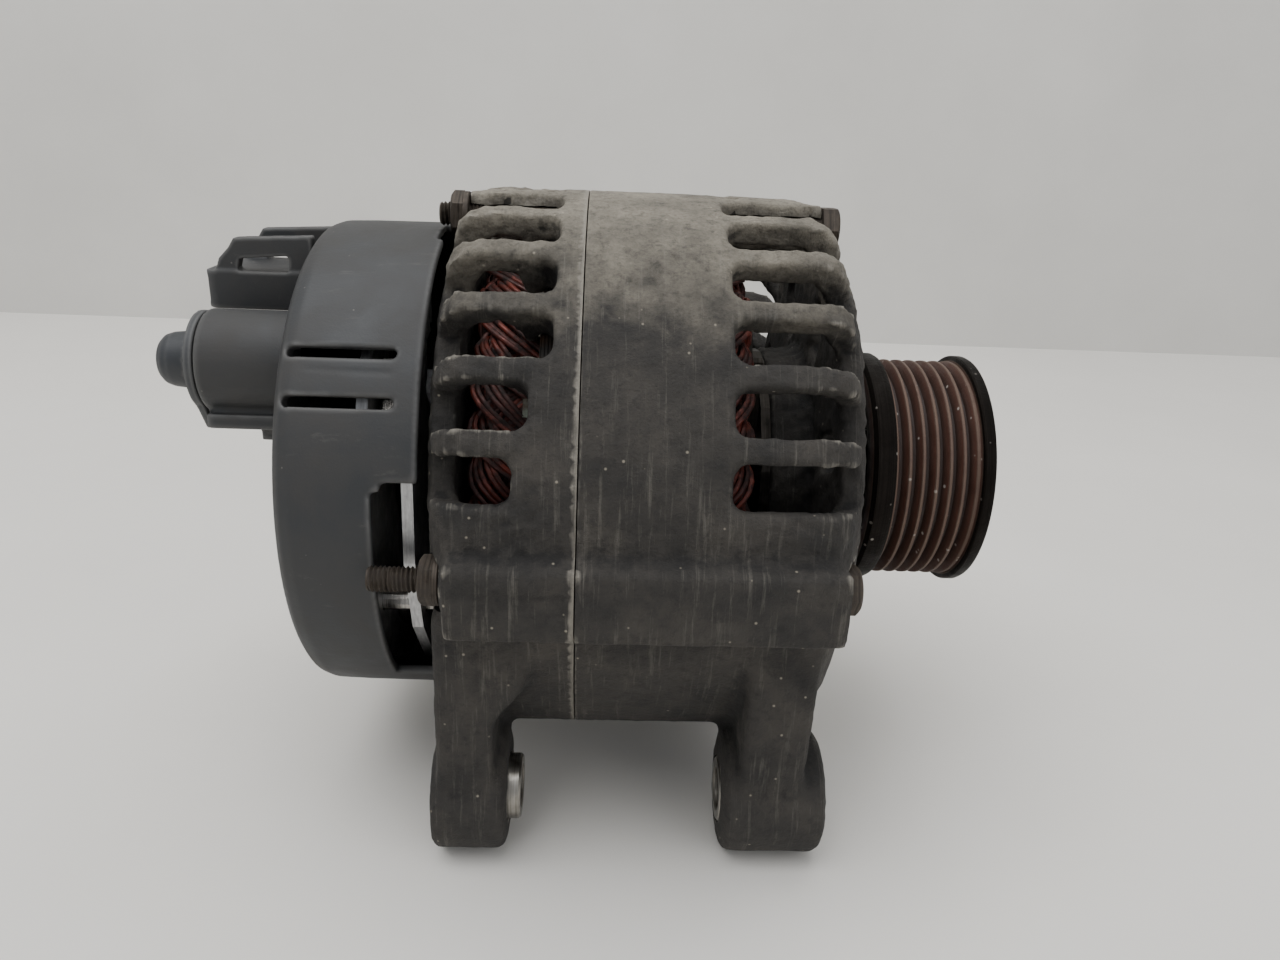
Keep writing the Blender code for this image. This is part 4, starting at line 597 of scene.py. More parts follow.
def stacked_sheet():
    """Stator core: half-millimetre electrical sheets stacked on edge, their edges oiled and rust-tinged."""
    material, tree, shader, spot = new_finish("laminated_sheet_steel")
    split = add(tree, "ShaderNodeSeparateXYZ", {0: spot})
    layer = add(tree, "ShaderNodeMath", {0: split.outputs["X"], 1: math.tau / 0.0008},
                operation="MULTIPLY")
    wave = add(tree, "ShaderNodeMath", {0: layer.outputs[0]}, operation="SINE")
    cloud = add(tree, "ShaderNodeTexNoise", {"Vector": spot, "Scale": 1 / 0.005, "Detail": 5.0})
    rust = add(tree, "ShaderNodeMapRange", {0: cloud.outputs[0], 1: 0.45, 2: 0.7})
    base = add(tree, "ShaderNodeMix", {0: rust.outputs[0], 6: linear("#3b3835"), 7: linear("#5b4334")},
               data_type="RGBA")
    bump = add(tree, "ShaderNodeBump", {"Strength": 0.5, "Distance": 0.00012, "Height": wave.outputs[0]})
    tree.links.new(base.outputs[2], shader.inputs["Base Color"])
    tree.links.new(bump.outputs[0], shader.inputs["Normal"])
    shader.inputs["Metallic"].default_value = 0.7
    shader.inputs["Roughness"].default_value = 0.55
    return material


def slot_paper():
    """Pressboard slot liner: pale, slightly green with age, spotted by varnish."""
    material, tree, shader, spot = new_finish("pressboard_slot_liner")
    stain = add(tree, "ShaderNodeTexNoise", {"Vector": spot, "Scale": 1 / 0.003, "Detail": 5.0})
    tone = add(tree, "ShaderNodeMapRange", {0: stain.outputs[0], 1: 0.38, 2: 0.62})
    base = add(tree, "ShaderNodeMix", {0: tone.outputs[0], 6: linear("#8f9a8c"), 7: linear("#574f45")},
               data_type="RGBA")
    bump = add(tree, "ShaderNodeBump", {"Strength": 0.4, "Distance": 0.0001, "Height": stain.outputs[0]})
    tree.links.new(base.outputs[2], shader.inputs["Base Color"])
    tree.links.new(bump.outputs[0], shader.inputs["Normal"])
    shader.inputs["Roughness"].default_value = 0.8
    return material


def painted_board(name, low, high):
    """Old painted worktop or wall: matt, pale, faintly clouded."""
    material, tree, shader, spot = new_finish(name)
    cloud = add(tree, "ShaderNodeTexNoise", {"Vector": spot, "Scale": 1 / 0.16, "Detail": 6.0,
                                             "Roughness": 0.6})
    base = add(tree, "ShaderNodeMix", {0: cloud.outputs[0], 6: linear(low), 7: linear(high)},
               data_type="RGBA")
    tree.links.new(base.outputs[2], shader.inputs["Base Color"])
    shader.inputs["Roughness"].default_value = 0.55
    return material


# ---- the cast shells ----
def window_angles():
    """Side angles of the windows: none beside the saddles and legs."""
    angles = [RIB_PHASE + (index + 0.5) * 360 / RIBS for index in range(RIBS)]
    return [angle for angle in angles if not (171 < angle < 252 or angle > 288)]


def cut_windows(obj, start, plate, rim, grain):
    """Cuts a shell's windows: rounded at the band, and running over the plate's rim."""
    toward = math.copysign(1, plate)
    deep, over = [], []
    for angle in window_angles():
        outline = rounded(sorted((start(angle), plate + toward * 0.13)), 5.2, 2.6,
                          (toward > 0, toward < 0))
        deep.append(outward("window", outline, LIP - 3.0, BAND + 3.0, angle))
        outline = rounded(sorted((plate - toward * 2.0, plate + toward * 10.0)), 5.0, 1.0, (False, False))
        over.append(outward("window", outline, rim, BAND + 3.0, angle))
    combined(obj, "DIFFERENCE", joined("windows", deep))
    softened(obj, grain, 0)
    return combined(obj, "DIFFERENCE", joined("window_ends", over))


def bolt_rods(name, low, high, radius, steps=20):
    """A bar at each through bolt, joined."""
    return joined(name, [rod(name, low, high, radius, steps, spot) for spot in BOLTS])


def saddle_blocks(low, high):
    """The blocks over the side bolts, with their corners broken."""
    deep = SADDLE - BOLT_CIRCLE + 6.0
    near = [(-SADDLE, 0.3), (-SADDLE + 1.2, 1.5), (-SADDLE + deep, 1.5), (-SADDLE + deep, -16.5),
            (-SADDLE + 1.5, -16.5), (-SADDLE, -15.0)]
    far = [(SADDLE, 12.3), (SADDLE - 1.2, 13.5), (SADDLE - deep, 13.5), (SADDLE - deep, -16.5),
           (SADDLE - 1.5, -16.5), (SADDLE, -15.0)]
    return [slab("saddle", near, "X", low, high), slab("saddle", far, "X", low, high)]


def leg_webs(outline, ridge):
    """The webs down to the ears, each with the ridge its mould's parting left."""
    parts = []
    for sign in (-1, 1):
        outer = abs(NEAR_EAR[0]) + EAR_R - 2.0
        web = slab("leg", outline, "Y", *sorted((sign * outer, sign * (outer - 30.0))))
        line = box("parting_ridge", (ridge - 0.7, ridge + 0.7), sorted((sign * outer - sign,
                   sign * (outer + 0.55))), (NEAR_EAR[1] + 3.0, -20.0))
        parts += [web, line]
    return parts


def ear_rods(ends, radius, near_bore, far_bore):
    """The ears with their rims broken, and the cutters for their bores."""
    solid = [rod("ear", ends[0], ends[1], radius, 48, spot, 1.2) for spot in (NEAR_EAR, FAR_EAR)]
    bores = [rod("bore", ends[0] - 3, ends[1] + 3, size, 40, spot)
             for spot, size in ((NEAR_EAR, near_bore), (FAR_EAR, far_bore))]
    return solid, bores


def near_windows(spots):
    """How far each point is into the ribs, where lint gathers, from 0 on the band to 1."""
    stations = (spots[:, 0] - CORE.x) / MM
    front = np.clip((stations - 27.0) / 6.0, 0, 1)
    rear = np.clip((-12.0 - stations) / 6.0, 0, 1)
    high = np.clip(((spots[:, 2] - CORE.z) / MM + 4.0) / 8.0, 0, 1)
    return 0.25 + 0.75 * np.maximum(front, rear) * high


def finish_skin(obj, sizes):
    """Softens a shell and roughens it as cast, before any machined cut."""
    softened(obj, sizes.grain, 3, 185000)
    roughened(obj, 6.0, sizes.waviness)
    return roughened(obj, 2.3, sizes.lumpiness, near_windows, seed=7.0)


def front_shell(sizes):
    """Drive-end shell: band, ribs, plate, bearing hub, saddles, legs and ears."""
    outer = [(SEAM - 2, 0), (SEAM - 2, BAND), (FRONT - 11.5, BAND), (FRONT - 7.5, BAND - 1.0),
             (FRONT - 4.8, BAND - 3.6), (FRONT - 3.0, BAND - 7.5), (FRONT - 2.2, PLATE + 1.6),
             (FRONT - 0.9, PLATE + 0.4), (FRONT, PLATE - 1.2), (FRONT, 34.5), (FRONT - 1.0, 33.0),
             (FRONT - 1.0, 20.5), (FRONT, 19.5), (FRONT, 0)]
    wall = FRONT - 6.5
    inner = [(SEAM - 4, 0), (SEAM - 4, CORE_R + 0.5), (CORE_END + 0.3, CORE_R + 0.5),
             (CORE_END + 0.3, LIP), (CORE_END + 3.3, LIP), (CORE_END + 6.3, BAND - 6.2),
             (FRONT - 11.5, BAND - 6.2), (wall, PLATE - 2.0), (wall, 32.5), (40.7, 32.5), (40.7, 23.8),
             (FRONT - 2.2, 23.8), (FRONT - 2.2, 15.2), (FRONT + 2, 15.2), (FRONT + 2, 0)]
    low_ear = NEAR_EAR[1]
    leg = [(33.2, low_ear), (48.4, low_ear), (50.2, -14.5), (33.2, -14.5)]
    obj = turned("front_shell", outer, 168)
    ears, bores = ear_rods(FRONT_EAR, EAR_R, 8.3, 5.2)
    bosses = [rod("ear_boss", FRONT_EAR[0] - 0.4, FRONT_EAR[0] + 1, 11.0, 48, spot, 0.3)
              for spot in (NEAR_EAR,)]
    combined(obj, "UNION", *saddle_blocks(SEAM - 2, FRONT - 5.5), *leg_webs(leg, 41.5), *ears, *bosses)
    combined(obj, "DIFFERENCE", turned("hollow", inner, 84))
    combined(obj, "UNION", bolt_rods("bosses", CORE_END + 1.8, wall + 0.3, 5.9))
    softened(obj, sizes.grain, 0)
    cut_windows(obj, lambda angle: CORE_END + 8.8, wall, PLATE + 0.3, sizes.grain)
    vents = [outward("vent", rounded((wall - 2, FRONT + 2), 4.5, 1.0, (False, False)), 37.0, 52.0,
                     (index + 0.5) * 45) for index in range(8)]
    combined(obj, "DIFFERENCE", joined("vents", vents))
    finish_skin(obj, sizes)
    holes = bolt_rods("holes", SEAM - 4, HEAD_SEAT + 1, BOLT_HOLE, 16)
    combined(obj, "DIFFERENCE", joined("holes", [holes, *bores]),
             bolt_rods("spot_faces", HEAD_SEAT, FRONT + 2, 7.0),
             box("seam_cut", (SEAM - 6, SEAM + 0.15), (-130, 130), (-130, 130)))
    return obj


def rear_window_start(angle):
    """Where a rear window begins: they shorten down to the saddle."""
    if angle < 20:
        return -21.3
    if angle < 34:
        return -18.2
    return -13.4


def rear_shell(sizes):
    """Rear shell: band, ribs, plate, bearing hub, saddles with a framed panel, legs and ears."""
    outer = [(SEAM + 2, 0), (SEAM + 2, BAND), (BACK + 9.5, BAND), (BACK + 6.0, BAND - 0.8),
             (BACK + 3.6, BAND - 3.0), (BACK + 2.0, BAND - 6.5), (BACK + 1.2, PLATE + 1.6),
             (BACK + 0.7, PLATE + 0.2), (BACK, PLATE - 1.5), (BACK, 0)]
    wall = BACK + 6.5
    hub = span("rear_housing", "x")[0]
    inner = [(SEAM + 4, 0), (SEAM + 4, CORE_R + 0.5), (-CORE_END - 0.3, CORE_R + 0.5),
             (-CORE_END - 0.3, LIP), (-CORE_END - 3.3, LIP), (-CORE_END - 6.3, BAND - 6.2),
             (BACK + 10.5, BAND - 6.2), (wall, PLATE - 2.0), (wall, 17.8), (hub + 0.8, 17.8),
             (hub + 0.8, 11.0), (hub - 2, 11.0), (hub - 2, 0)]
    low_ear = NEAR_EAR[1]
    leg = [(-39.5, -14.5), (-18.3, -14.5), (-18.3, -33.0), (-26.0, -43.0), (-26.0, low_ear),
           (-39.5, low_ear)]
    obj = turned("rear_shell", outer, 168)
    ears, bores = ear_rods(REAR_EAR, EAR_R, 8.3, 5.2)
    combined(obj, "UNION", *saddle_blocks(NUT_SEAT + 1, SEAM + 2), *leg_webs(leg, -32.0), *ears,
             rod("hub", hub, wall, 22.0, 64))
    combined(obj, "DIFFERENCE", turned("hollow", inner, 84))
    combined(obj, "UNION", bolt_rods("bosses", NUT_SEAT - 1, -CORE_END - 1.8, 5.9))
    softened(obj, sizes.grain, 0)
    cut_windows(obj, rear_window_start, wall, PLATE + 0.3, sizes.grain)
    vents = [outward("vent", rounded((BACK - 2, wall + 2), 4.5, 1.0, (False, False)), 29.0, 48.0,
                     (index + 0.5) * 45) for index in range(8)]
    panel = box("panel", (-29.5, SEAM - 0.6), (-SADDLE - 1, -SADDLE + 0.6), (-18.0, -3.2))
    combined(obj, "DIFFERENCE", joined("vents", [*vents, panel]))
    finish_skin(obj, sizes)
    holes = bolt_rods("holes", NUT_SEAT - 1, SEAM + 4, BOLT_HOLE, 16)
    combined(obj, "DIFFERENCE", joined("holes", [holes, *bores]),
             bolt_rods("spot_faces", BACK - 2, NUT_SEAT, 7.0),
             box("seam_cut", (SEAM - 0.15, SEAM + 6), (-130, 130), (-130, 130)))
    return obj


# ---- the rear cover and what stands on it ----
def ring_part(name, x, radii, angles, steps):
    """A part of a ring between two side angles."""
    outline = [side(angles[0] + (angles[1] - angles[0]) * step / steps, radii[1])
               for step in range(steps + 1)]
    outline += [side(angles[1] + (angles[0] - angles[1]) * step / steps, radii[0])
                for step in range(steps + 1)]
    return slab(name, outline, "X", x[0], x[1])


def rear_cover():
    """Moulded cover with its cut-out, slots, tube, ledge, wells and air slots."""
    rear, wall = COVER_BACK, 2.2
    outer = [(RIM, 0), (RIM, COVER - 0.4), (RIM - 0.4, COVER), (rear + 12, COVER - 0.2),
             (rear + 4.5, COVER - 0.5), (rear + 1.8, COVER - 1.5), (rear + 0.5, COVER - 3.2),
             (rear, COVER - 5.2), (rear, 0)]
    inner = [(RIM + 2, 0), (RIM + 2, COVER - wall), (rear + 6, COVER - wall - 0.3),
             (rear + wall + 1.2, COVER - wall - 1.5), (rear + wall, COVER - wall - 4.0), (rear + wall, 0)]
    obj = turned("rear_cover_moulding", outer, 144)
    combined(obj, "DIFFERENCE", turned("hollow", inner, 144))
    y, z = STUD
    tube = rod("tube", TUBE_END, rear + 1, 12.5, 48, STUD, 0.5)
    ledge = box("ledge", (TUBE_END + 1.0, rear + 1), (y - 10.5, y + 10.5), (z - 14.1, z - 10.5))
    foot = box("ledge_foot", (rear - 9.5, rear + 1), (y - 7.5, y + 4.0), (z - 17.6, z - 13.0))
    wells = [rod("well", rear + 1, rear + 6.2, 6.4, 32, side(angle, WELL_CIRCLE)) for angle in WELL_ANGLES]
    combined(obj, "UNION", tube, ledge, foot, *wells)
    near = (COVER - wall - 2, COVER + 3)
    cuts = [ring_part("cut_out", (RIM - 10.2, RIM + 3), near, (-44.0, 11.0), 12),
            ring_part("cut_out", (RIM - 8.2, RIM + 3), near, (-46.0, 13.0), 12),
            ring_part("slot", (rear + 2.6, RIM - 5.6), near, (27.7, 30.1), 2),
            ring_part("slot", (rear + 2.6, RIM - 5.6), near, (38.4, 40.8), 2),
            rod("bore", TUBE_END - 2, rear + wall + 2, 9.8, 40, STUD),
            box("neck_hole", (rear - 1, rear + wall + 1), (-10.4, 8.4), (43.1, 49.4))]
    cuts += [rod("sink", rear - 2, rear + 4, 5.0, 28, side(angle, WELL_CIRCLE)) for angle in WELL_ANGLES]
    cuts += [rod("hole", rear + 3, rear + 8, 2.8, 20, side(angle, WELL_CIRCLE)) for angle in WELL_ANGLES]
    combined(obj, "DIFFERENCE", *cuts)
    air = [outward("air", rounded((rear - 2, rear + wall + 1), 1.8, 0.3, (False, False)), 17.0, 38.0,
                   -180 + index * 21) for index in range(9)]
    combined(obj, "DIFFERENCE", joined("air_slots", air))
    groove = ring_part("groove", (rear + 7, RIM - 6), (COVER - 0.55, COVER + 3), (34.9, 35.7), 1)
    slit = ring_part("slit", (RIM - 1.6, RIM + 3), near, (76.0, 90.0), 4)
    return combined(obj, "DIFFERENCE", groove, slit)


def terminal_cap():
    """Push-on cap: spigot, thin flange with a pulling tail, and a blunt nose."""
    y, z = STUD
    far = TUBE_END - 0.3
    face = far - 2.0
    bore = 9.5
    cap = [(TUBE_END + 7, bore), (far, bore), (far, 12.0), (face, 12.0), (face, 7.2), (face - 6.2, 6.6),
           (face - 8.0, 6.0), (face - 9.2, 4.7), (face - 9.9, 2.6), (face - 10.0, 0), (face - 6, 0),
           (face - 6, 4.6), (face, bore - 1.8), (TUBE_END + 7, bore - 1.8)]
    obj = turned("cap", cap, 64, STUD)
    tail = [(y - 9.0, z - 7.0), (y + 9.5, z - 7.0), (y + 5.5, z - 15.0), (y + 1.5, z - 17.8),
            (y - 3.0, z - 16.2)]
    return combined(obj, "UNION", slab("tail", tail, "X", face + 0.1, far - 0.1))


def plug_socket():
    """Socket shroud with its neck, latch guard and key ribs."""
    near, far = span("plug_socket", "y")
    front = span("plug_socket", "x")[0]
    low, high = 41.5, 51.0
    back = COVER_BACK - 0.3
    wall = 1.6
    middle_y, half = (near + far) / 2, (far - near) / 2
    plan = [(x, middle_y + across) for x, across in rounded((front, back), half, 3.0, (True, False), 6)]
    obj = slab("socket", plan, "Z", low, high)
    neck = box("neck", (back - 2, span("plug_socket", "x")[1]), (-10, 8), (43.5, 49.0))
    guard = [(back, high + 4.0), (back, 60.0), (back - 19.0, 59.0), (front + 6.5, 56.6),
             (front + 4.0, 54.0), (front + 2.5, high - 1.0), (front + 8.0, high - 1.0),
             (front + 9.0, high + 3.0), (back - 6.0, high + 4.0), (back - 6.0, high - 1.0),
             (back, high - 1.0)]
    arms = [slab("guard", guard, "Y", near + 0.5, near + 4.0),
            slab("guard", guard, "Y", far - 4.0, far - 0.5)]
    ribs = [box("key_rib", (front + 2.5, back), (near - 0.0, near + 1.0), (low + 2.2, low + 3.6))]
    combined(obj, "UNION", neck, *arms, *ribs)
    hollow = [(x, middle_y + across) for x, across in rounded((front - 2, back - 4.0), half - wall, 1.5,
                                                              (False, False))]
    return combined(obj, "DIFFERENCE", slab("hollow", hollow, "Z", low + wall, high - wall))


# ---- turned and threaded pieces ----
def groove_points(first, count, pitch, crest, deep):
    """Outline of the belt grooves: rounded crests, flat-bottomed valleys."""
    points = []
    for index in range(count):
        left = first + index * pitch
        points += [(left + 0.28, crest), (left + 0.48, crest - 0.18), (left + 1.42, crest - deep),
                   (left + pitch - 1.42, crest - deep), (left + pitch - 0.48, crest - 0.18),
                   (left + pitch - 0.28, crest)]
    return points


def belt_pulley():
    """Six-groove pulley with a blackened rim, a web and a hub."""
    back, front = span("pulley", "x")
    flange = span("pulley", "y")[1]
    crest, pitch, deep = flange - 1.6, 3.56, 2.7
    first = back + 6.2
    last = first + 6 * pitch
    rim = crest - 5.6
    outline = [(back, flange - 0.9), (back + 0.9, flange), (first - 1.3, flange),
               (first - 0.35, flange - 0.5), (first - 0.2, crest)]
    outline += groove_points(first, 6, pitch, crest, deep)
    outline += [(last + 0.45, crest), (last + 0.55, crest - 0.35), (last + 0.85, crest - 0.35),
                (last + 1.1, flange - 0.3), (last + 1.5, flange), (front - 0.9, flange),
                (front - 0.2, flange - 0.35), (front, flange - 1.0), (front, rim + 1.3),
                (front - 1.4, rim), (back + 15.5, rim - 0.6), (back + 15.0, rim - 1.6),
                (back + 15.0, 15.6), (back + 15.0, 8.8), (back, 8.8), (back, 14.0), (back + 6.0, 14.0),
                (back + 7.0, 15.5), (back + 7.0, rim - 1.0), (back + 6.0, rim), (back, rim)]
    return turned("pulley_turning", outline, 144)


def threaded(name, low, high, radius, pitch, centre, turns_per_side=10):
    """A threaded bar: fine rings, each point moved in and out along a helix."""
    count = int((high - low) / pitch * turns_per_side)
    outline = [(low, 0), (low, radius - 0.5)]
    outline += [(low + 0.4 + (high - low - 0.4) * step / count, radius) for step in range(count + 1)]
    outline += [(high, 0)]
    obj = turned(name, outline, 24, centre)
    middle_y, middle_z = place(0, *centre).yz
    for vert in obj.data.vertices:
        y, z = vert.co.y - middle_y, vert.co.z - middle_z
        if math.hypot(y, z) < radius * 0.9 * MM:
            continue
        turn = math.atan2(z, y) / math.tau
        phase = ((vert.co.x - CORE.x) / MM / pitch - turn) % 1.0
        share = 1.0 - 0.19 * abs(2 * phase - 1)
        vert.co.y, vert.co.z = middle_y + y * share, middle_z + z * share
    return obj


def hex_nut(name, low, high, flats, bore, centre, turn=0.0, washer=0.0, washer_r=0.0):
    """A hexagonal nut with chamfered corners, on its washer."""
    corner = flats / math.sqrt(3)
    points = [(centre[0] + corner * math.cos(math.radians(60 * index + turn)),
               centre[1] + corner * math.sin(math.radians(60 * index + turn))) for index in range(6)]
    obj = slab(name, points, "X", low, high)
    cone = [(low - 0.05, 0), (low - 0.05, flats / 2 * 0.96), (low + 0.75, corner + 0.1),
            (high + 0.1, corner + 0.1), (high + 0.1, 0)]
    combined(obj, "INTERSECT", turned("chamfer", cone, 48, centre))
    if washer:
        combined(obj, "UNION", rod("washer", high - 0.2, high + washer, washer_r, 40, centre, 0.2))
    return combined(obj, "DIFFERENCE", rod("bore", low - 1, high + washer + 1, bore, 32, centre))


# ---- the winding ----
def wire(name, points, radius):
    """A round wire through points in metres, as a mesh."""
    bpy.ops.object.select_all(action="DESELECT")
    bpy.ops.curve.primitive_nurbs_path_add(location=(0, 0, 0))
    obj = bpy.context.object
    curve = obj.data
    curve.splines.clear()
    line = curve.splines.new("POLY")
    line.points.add(len(points) - 1)
    for point, spot in zip(line.points, points):
        point.co = (*spot, 1.0)
    curve.bevel_depth = radius * MM
    curve.bevel_resolution = 1
    curve.use_fill_caps = True
    bpy.ops.object.convert(target="MESH")
    obj = bpy.context.object
    obj.name = name
    return obj


def head_wire(sign, lean, rise, reach):
    """One wire's way out of a slot, over the head and away to the side."""
    points = []
    steps = 9
    for step in range(steps + 1):
        share = step / steps
        out = math.sin(share * math.pi * 0.62)
        x = sign * (CORE_END - 0.5 + reach * out)
        radius = rise + 2.6 * math.sin(share * math.pi) - 3.0 * share
        points.append(place(x, *side(lean * share, radius)))
    return points


def winding_wires(sizes):
    """Both heads: bundles of wires leaving every slot in crossing layers."""
    dice = random.Random(sizes.seed)
    parts = []
    for sign in (1, -1):
        for lean, rise in ((19.0, LIP - 1.9), (-19.0, LIP - 4.4)):
            for strand in range(sizes.strands):
                reach = 15.5 - 1.15 * strand
                model = wire("strand", head_wire(sign, lean, rise, reach), sizes.wire / 2)
                for slot in range(36):
                    shift = strand * 1.25 * math.copysign(1, lean)
                    twin = turned_copy(model, -(slot * 10 + shift + dice.uniform(-0.5, 0.5)))
                    jog = Vector((dice.uniform(-0.35, 0.35), 0, 0)) * MM
                    twin.data.transform(Matrix.Translation(jog))
                    tint = twin.data.attributes.new("tint", "FLOAT", "POINT")
                    tint.data.foreach_set("value", [dice.random()] * len(twin.data.vertices))
                    parts.append(twin)
                bpy.data.objects.remove(model, do_unlink=True)
    return joined("winding_wires", parts)


def winding_base():
    """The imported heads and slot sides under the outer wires."""
    parts = []
    for sign in (1, -1):
        near, far = sign * (CORE_END + 0.3), sign * (CORE_END + 14.5)
        outline = [(near, 48.6), (far - sign * 3, 48.2), (far, 50.5), (far - sign * 0.5, 53.0),
                   (far - sign * 4, 55.2), (near, 55.0)]
        parts.append(turned("head", outline, 72))
    for slot in range(36):
        outline = [(-CORE_END - 1.5, -1.9), (CORE_END + 1.5, -1.9), (CORE_END + 1.5, 1.9),
                   (-CORE_END - 1.5, 1.9)]
        parts.append(outward("bar", outline, 49.7, 54.8, slot * 10))
    obj = joined("winding_base", parts)
    return obj


def slot_liners():
    """Pressboard liners standing out of every slot at both ends."""
    parts = []
    for sign in (1, -1):
        for slot in range(36):
            angle = slot * 10
            x = sorted((sign * (CORE_END - 1.0), sign * (CORE_END + 3.4)))
            outline = [(x[0], -2.15), (x[1], -2.15), (x[1], 2.15), (x[0], 2.15)]
            parts.append(outward("liner", outline, 57.15, 57.55, angle))
    return joined("slot_liners", parts)


# ---- settings ----
class ShellSettings(bpy.types.PropertyGroup):
    """Sizes of the cast shells' surface."""
    grain: FloatProperty(name="Skin size",
                         description="Spacing of the shells' surface points, in millimetres",
                         default=1.0, min=0.4, max=3.0)
    waviness: FloatProperty(name="Waviness", description="Depth of the casting's slow waves, in millimetres",
                            default=0.16, min=0.0, max=1.0)
    lumpiness: FloatProperty(name="Lint", description="Depth of the lint caked on the ribs, in millimetres",
                             default=0.55, min=0.0, max=2.0)
    # this darkness covers both the lint and the painted shade in the shells' hollows
    soot_and_shade: FloatProperty(name="Soot", description="How dark the lint and soot are", default=0.85, min=0.0,
                        max=1.0, subtype="FACTOR")


class WindingSettings(bpy.types.PropertyGroup):
    """Sizes of the winding."""
    wire: FloatProperty(name="Wire", description="Wire diameter, in millimetres", default=1.3, min=0.5,
                        max=3.0)
    strands: IntProperty(name="Strands", description="Wires leaving each slot in one layer", default=5,
                         min=1, max=8)
    seed: IntProperty(name="Seed", description="Picks the wires' small shifts and tints", default=11)


class StageSettings(bpy.types.PropertyGroup):
    """Camera and light."""
    lens: FloatProperty(name="Lens", description="Focal length", default=26.7, min=10.0, max=200.0,
                        unit="CAMERA")
    eye: FloatVectorProperty(name="Camera", description="Where the camera stands", size=3,
                             default=(0.0021, -0.2553, 0.1749), subtype="XYZ", unit="LENGTH")
    aim: FloatVectorProperty(name="Aim", description="What the camera looks at", size=3,
                             default=(0.01524, 0.02486, 0.06842), subtype="XYZ", unit="LENGTH")
    roll: FloatProperty(name="Roll", description="Camera roll", default=math.radians(2.59),
                        subtype="ANGLE", unit="ROTATION")
    key: FloatProperty(name="Key light", description="Power of the overhead light", default=15.0, min=0.0,
                       unit="POWER")


# ---- operators ----
class ALTERNATOR_OT_stage(bpy.types.Operator):
    """Adds the worktop, the wall, the lights and the camera"""
    bl_idname = "alternator.stage"
    bl_label = "Stage"

    def execute(self, context):
        settings = context.scene.alternator_stage
        bpy.ops.object.select_all(action="DESELECT")
        bpy.ops.mesh.primitive_plane_add(size=6.0, location=(0, 0, 0))
        floor = context.object
        floor.name = "worktop"
        floor.data.materials.append(painted_board("pale_worktop_paint", "#dad7d1", "#e9e6e0"))
        bpy.ops.object.select_all(action="DESELECT")
        bpy.ops.mesh.primitive_plane_add(size=6.0, location=(0, 0.56, 0), rotation=(math.pi / 2, 0, 0))
        wall = context.object
        wall.name = "wall"
        wall.data.materials.append(painted_board("pale_wall_paint", "#c4c2bd", "#dad8d3"))
        self.light("key", (-0.35, -0.25, 1.25), (0, 0.05, 0.05), 1.1, settings.key)
        self.light("fill", (0.9, -0.9, 0.7), (0, 0, 0.08), 1.0, settings.key * 0.28)
        self.light("back", (0.2, 0.5, 1.1), (0, 0, 0.1), 0.9, settings.key * 0.35)
        world = bpy.data.worlds.new("soft_room")
        context.scene.world = world
        world.use_nodes = True
        world.node_tree.nodes["Background"].inputs["Color"].default_value = linear("#e6e9ee")
        world.node_tree.nodes["Background"].inputs["Strength"].default_value = 0.72
        data = bpy.data.cameras.new("camera")
        data.sensor_width = 36.0
        data.lens = settings.lens
        camera = bpy.data.objects.new("camera", data)
        context.scene.collection.objects.link(camera)
        eye = Vector(settings.eye)
        look = (Vector(settings.aim) - eye).to_track_quat("-Z", "Y")
        turn = look @ Quaternion((0, 0, 1), settings.roll)
        camera.matrix_world = Matrix.Translation(eye) @ turn.to_matrix().to_4x4()
        context.scene.camera = camera
        return {"FINISHED"}

    def light(self, name, spot, target, size, power):
        """Adds a square soft light aimed at a point."""
        data = bpy.data.lights.new(name, "AREA")
        data.size = size
        data.energy = power
        lamp = bpy.data.objects.new(name, data)
        bpy.context.scene.collection.objects.link(lamp)
        way = Vector(target) - Vector(spot)
        turn = way.to_track_quat("-Z", "Y").to_matrix().to_4x4()
        lamp.matrix_world = Matrix.Translation(Vector(spot)) @ turn


class ALTERNATOR_OT_shells(bpy.types.Operator):
    """Models the two cast shells"""
    bl_idname = "alternator.shells"
    bl_label = "Cast shells"

    def execute(self, context):
        sizes = context.scene.alternator_shells
        material = grimy_cast_aluminium(sizes.soot_and_shade)
        for name, build, node in (("front_shell", front_shell, "front_housing"),
                                  ("rear_shell", rear_shell, "rear_housing")):
            done(mark_edges(build(sizes)), name, material, "housing", "cast_shell", node, smooth=50.0)
        return {"FINISHED"}


class ALTERNATOR_OT_rear_end(bpy.types.Operator):
    """Models the rear cover, the terminal cap and the plug socket"""
    bl_idname = "alternator.rear_end"
    bl_label = "Rear cover and terminals"

    def execute(self, context):
        plastic = moulded_plastic("glass_filled_polyamide", "#232527", "#45403a")
        rubbery = moulded_plastic("moulded_terminal_cap", "#26292d", "#403e3b", gloss=0.46, dust=0.2)
        cover = mark_edges(softened(rear_cover(), 0.62, 3))
        done(cover, "rear_cover_moulding", plastic, "housing", "black_plastic", "rear_cover", smooth=180)
        cap = mark_edges(softened(terminal_cap(), 0.32, 3, 90000))
        done(cap, "terminal_cap_moulding", rubbery, "terminal_cap", "black_plastic", "terminal_cap",
             smooth=180)
        socket = mark_edges(softened(plug_socket(), 0.36, 2, 120000))
        done(socket, "plug_socket_moulding", plastic, "housing", "black_plastic", "plug_socket",
             smooth=180)
        return {"FINISHED"}


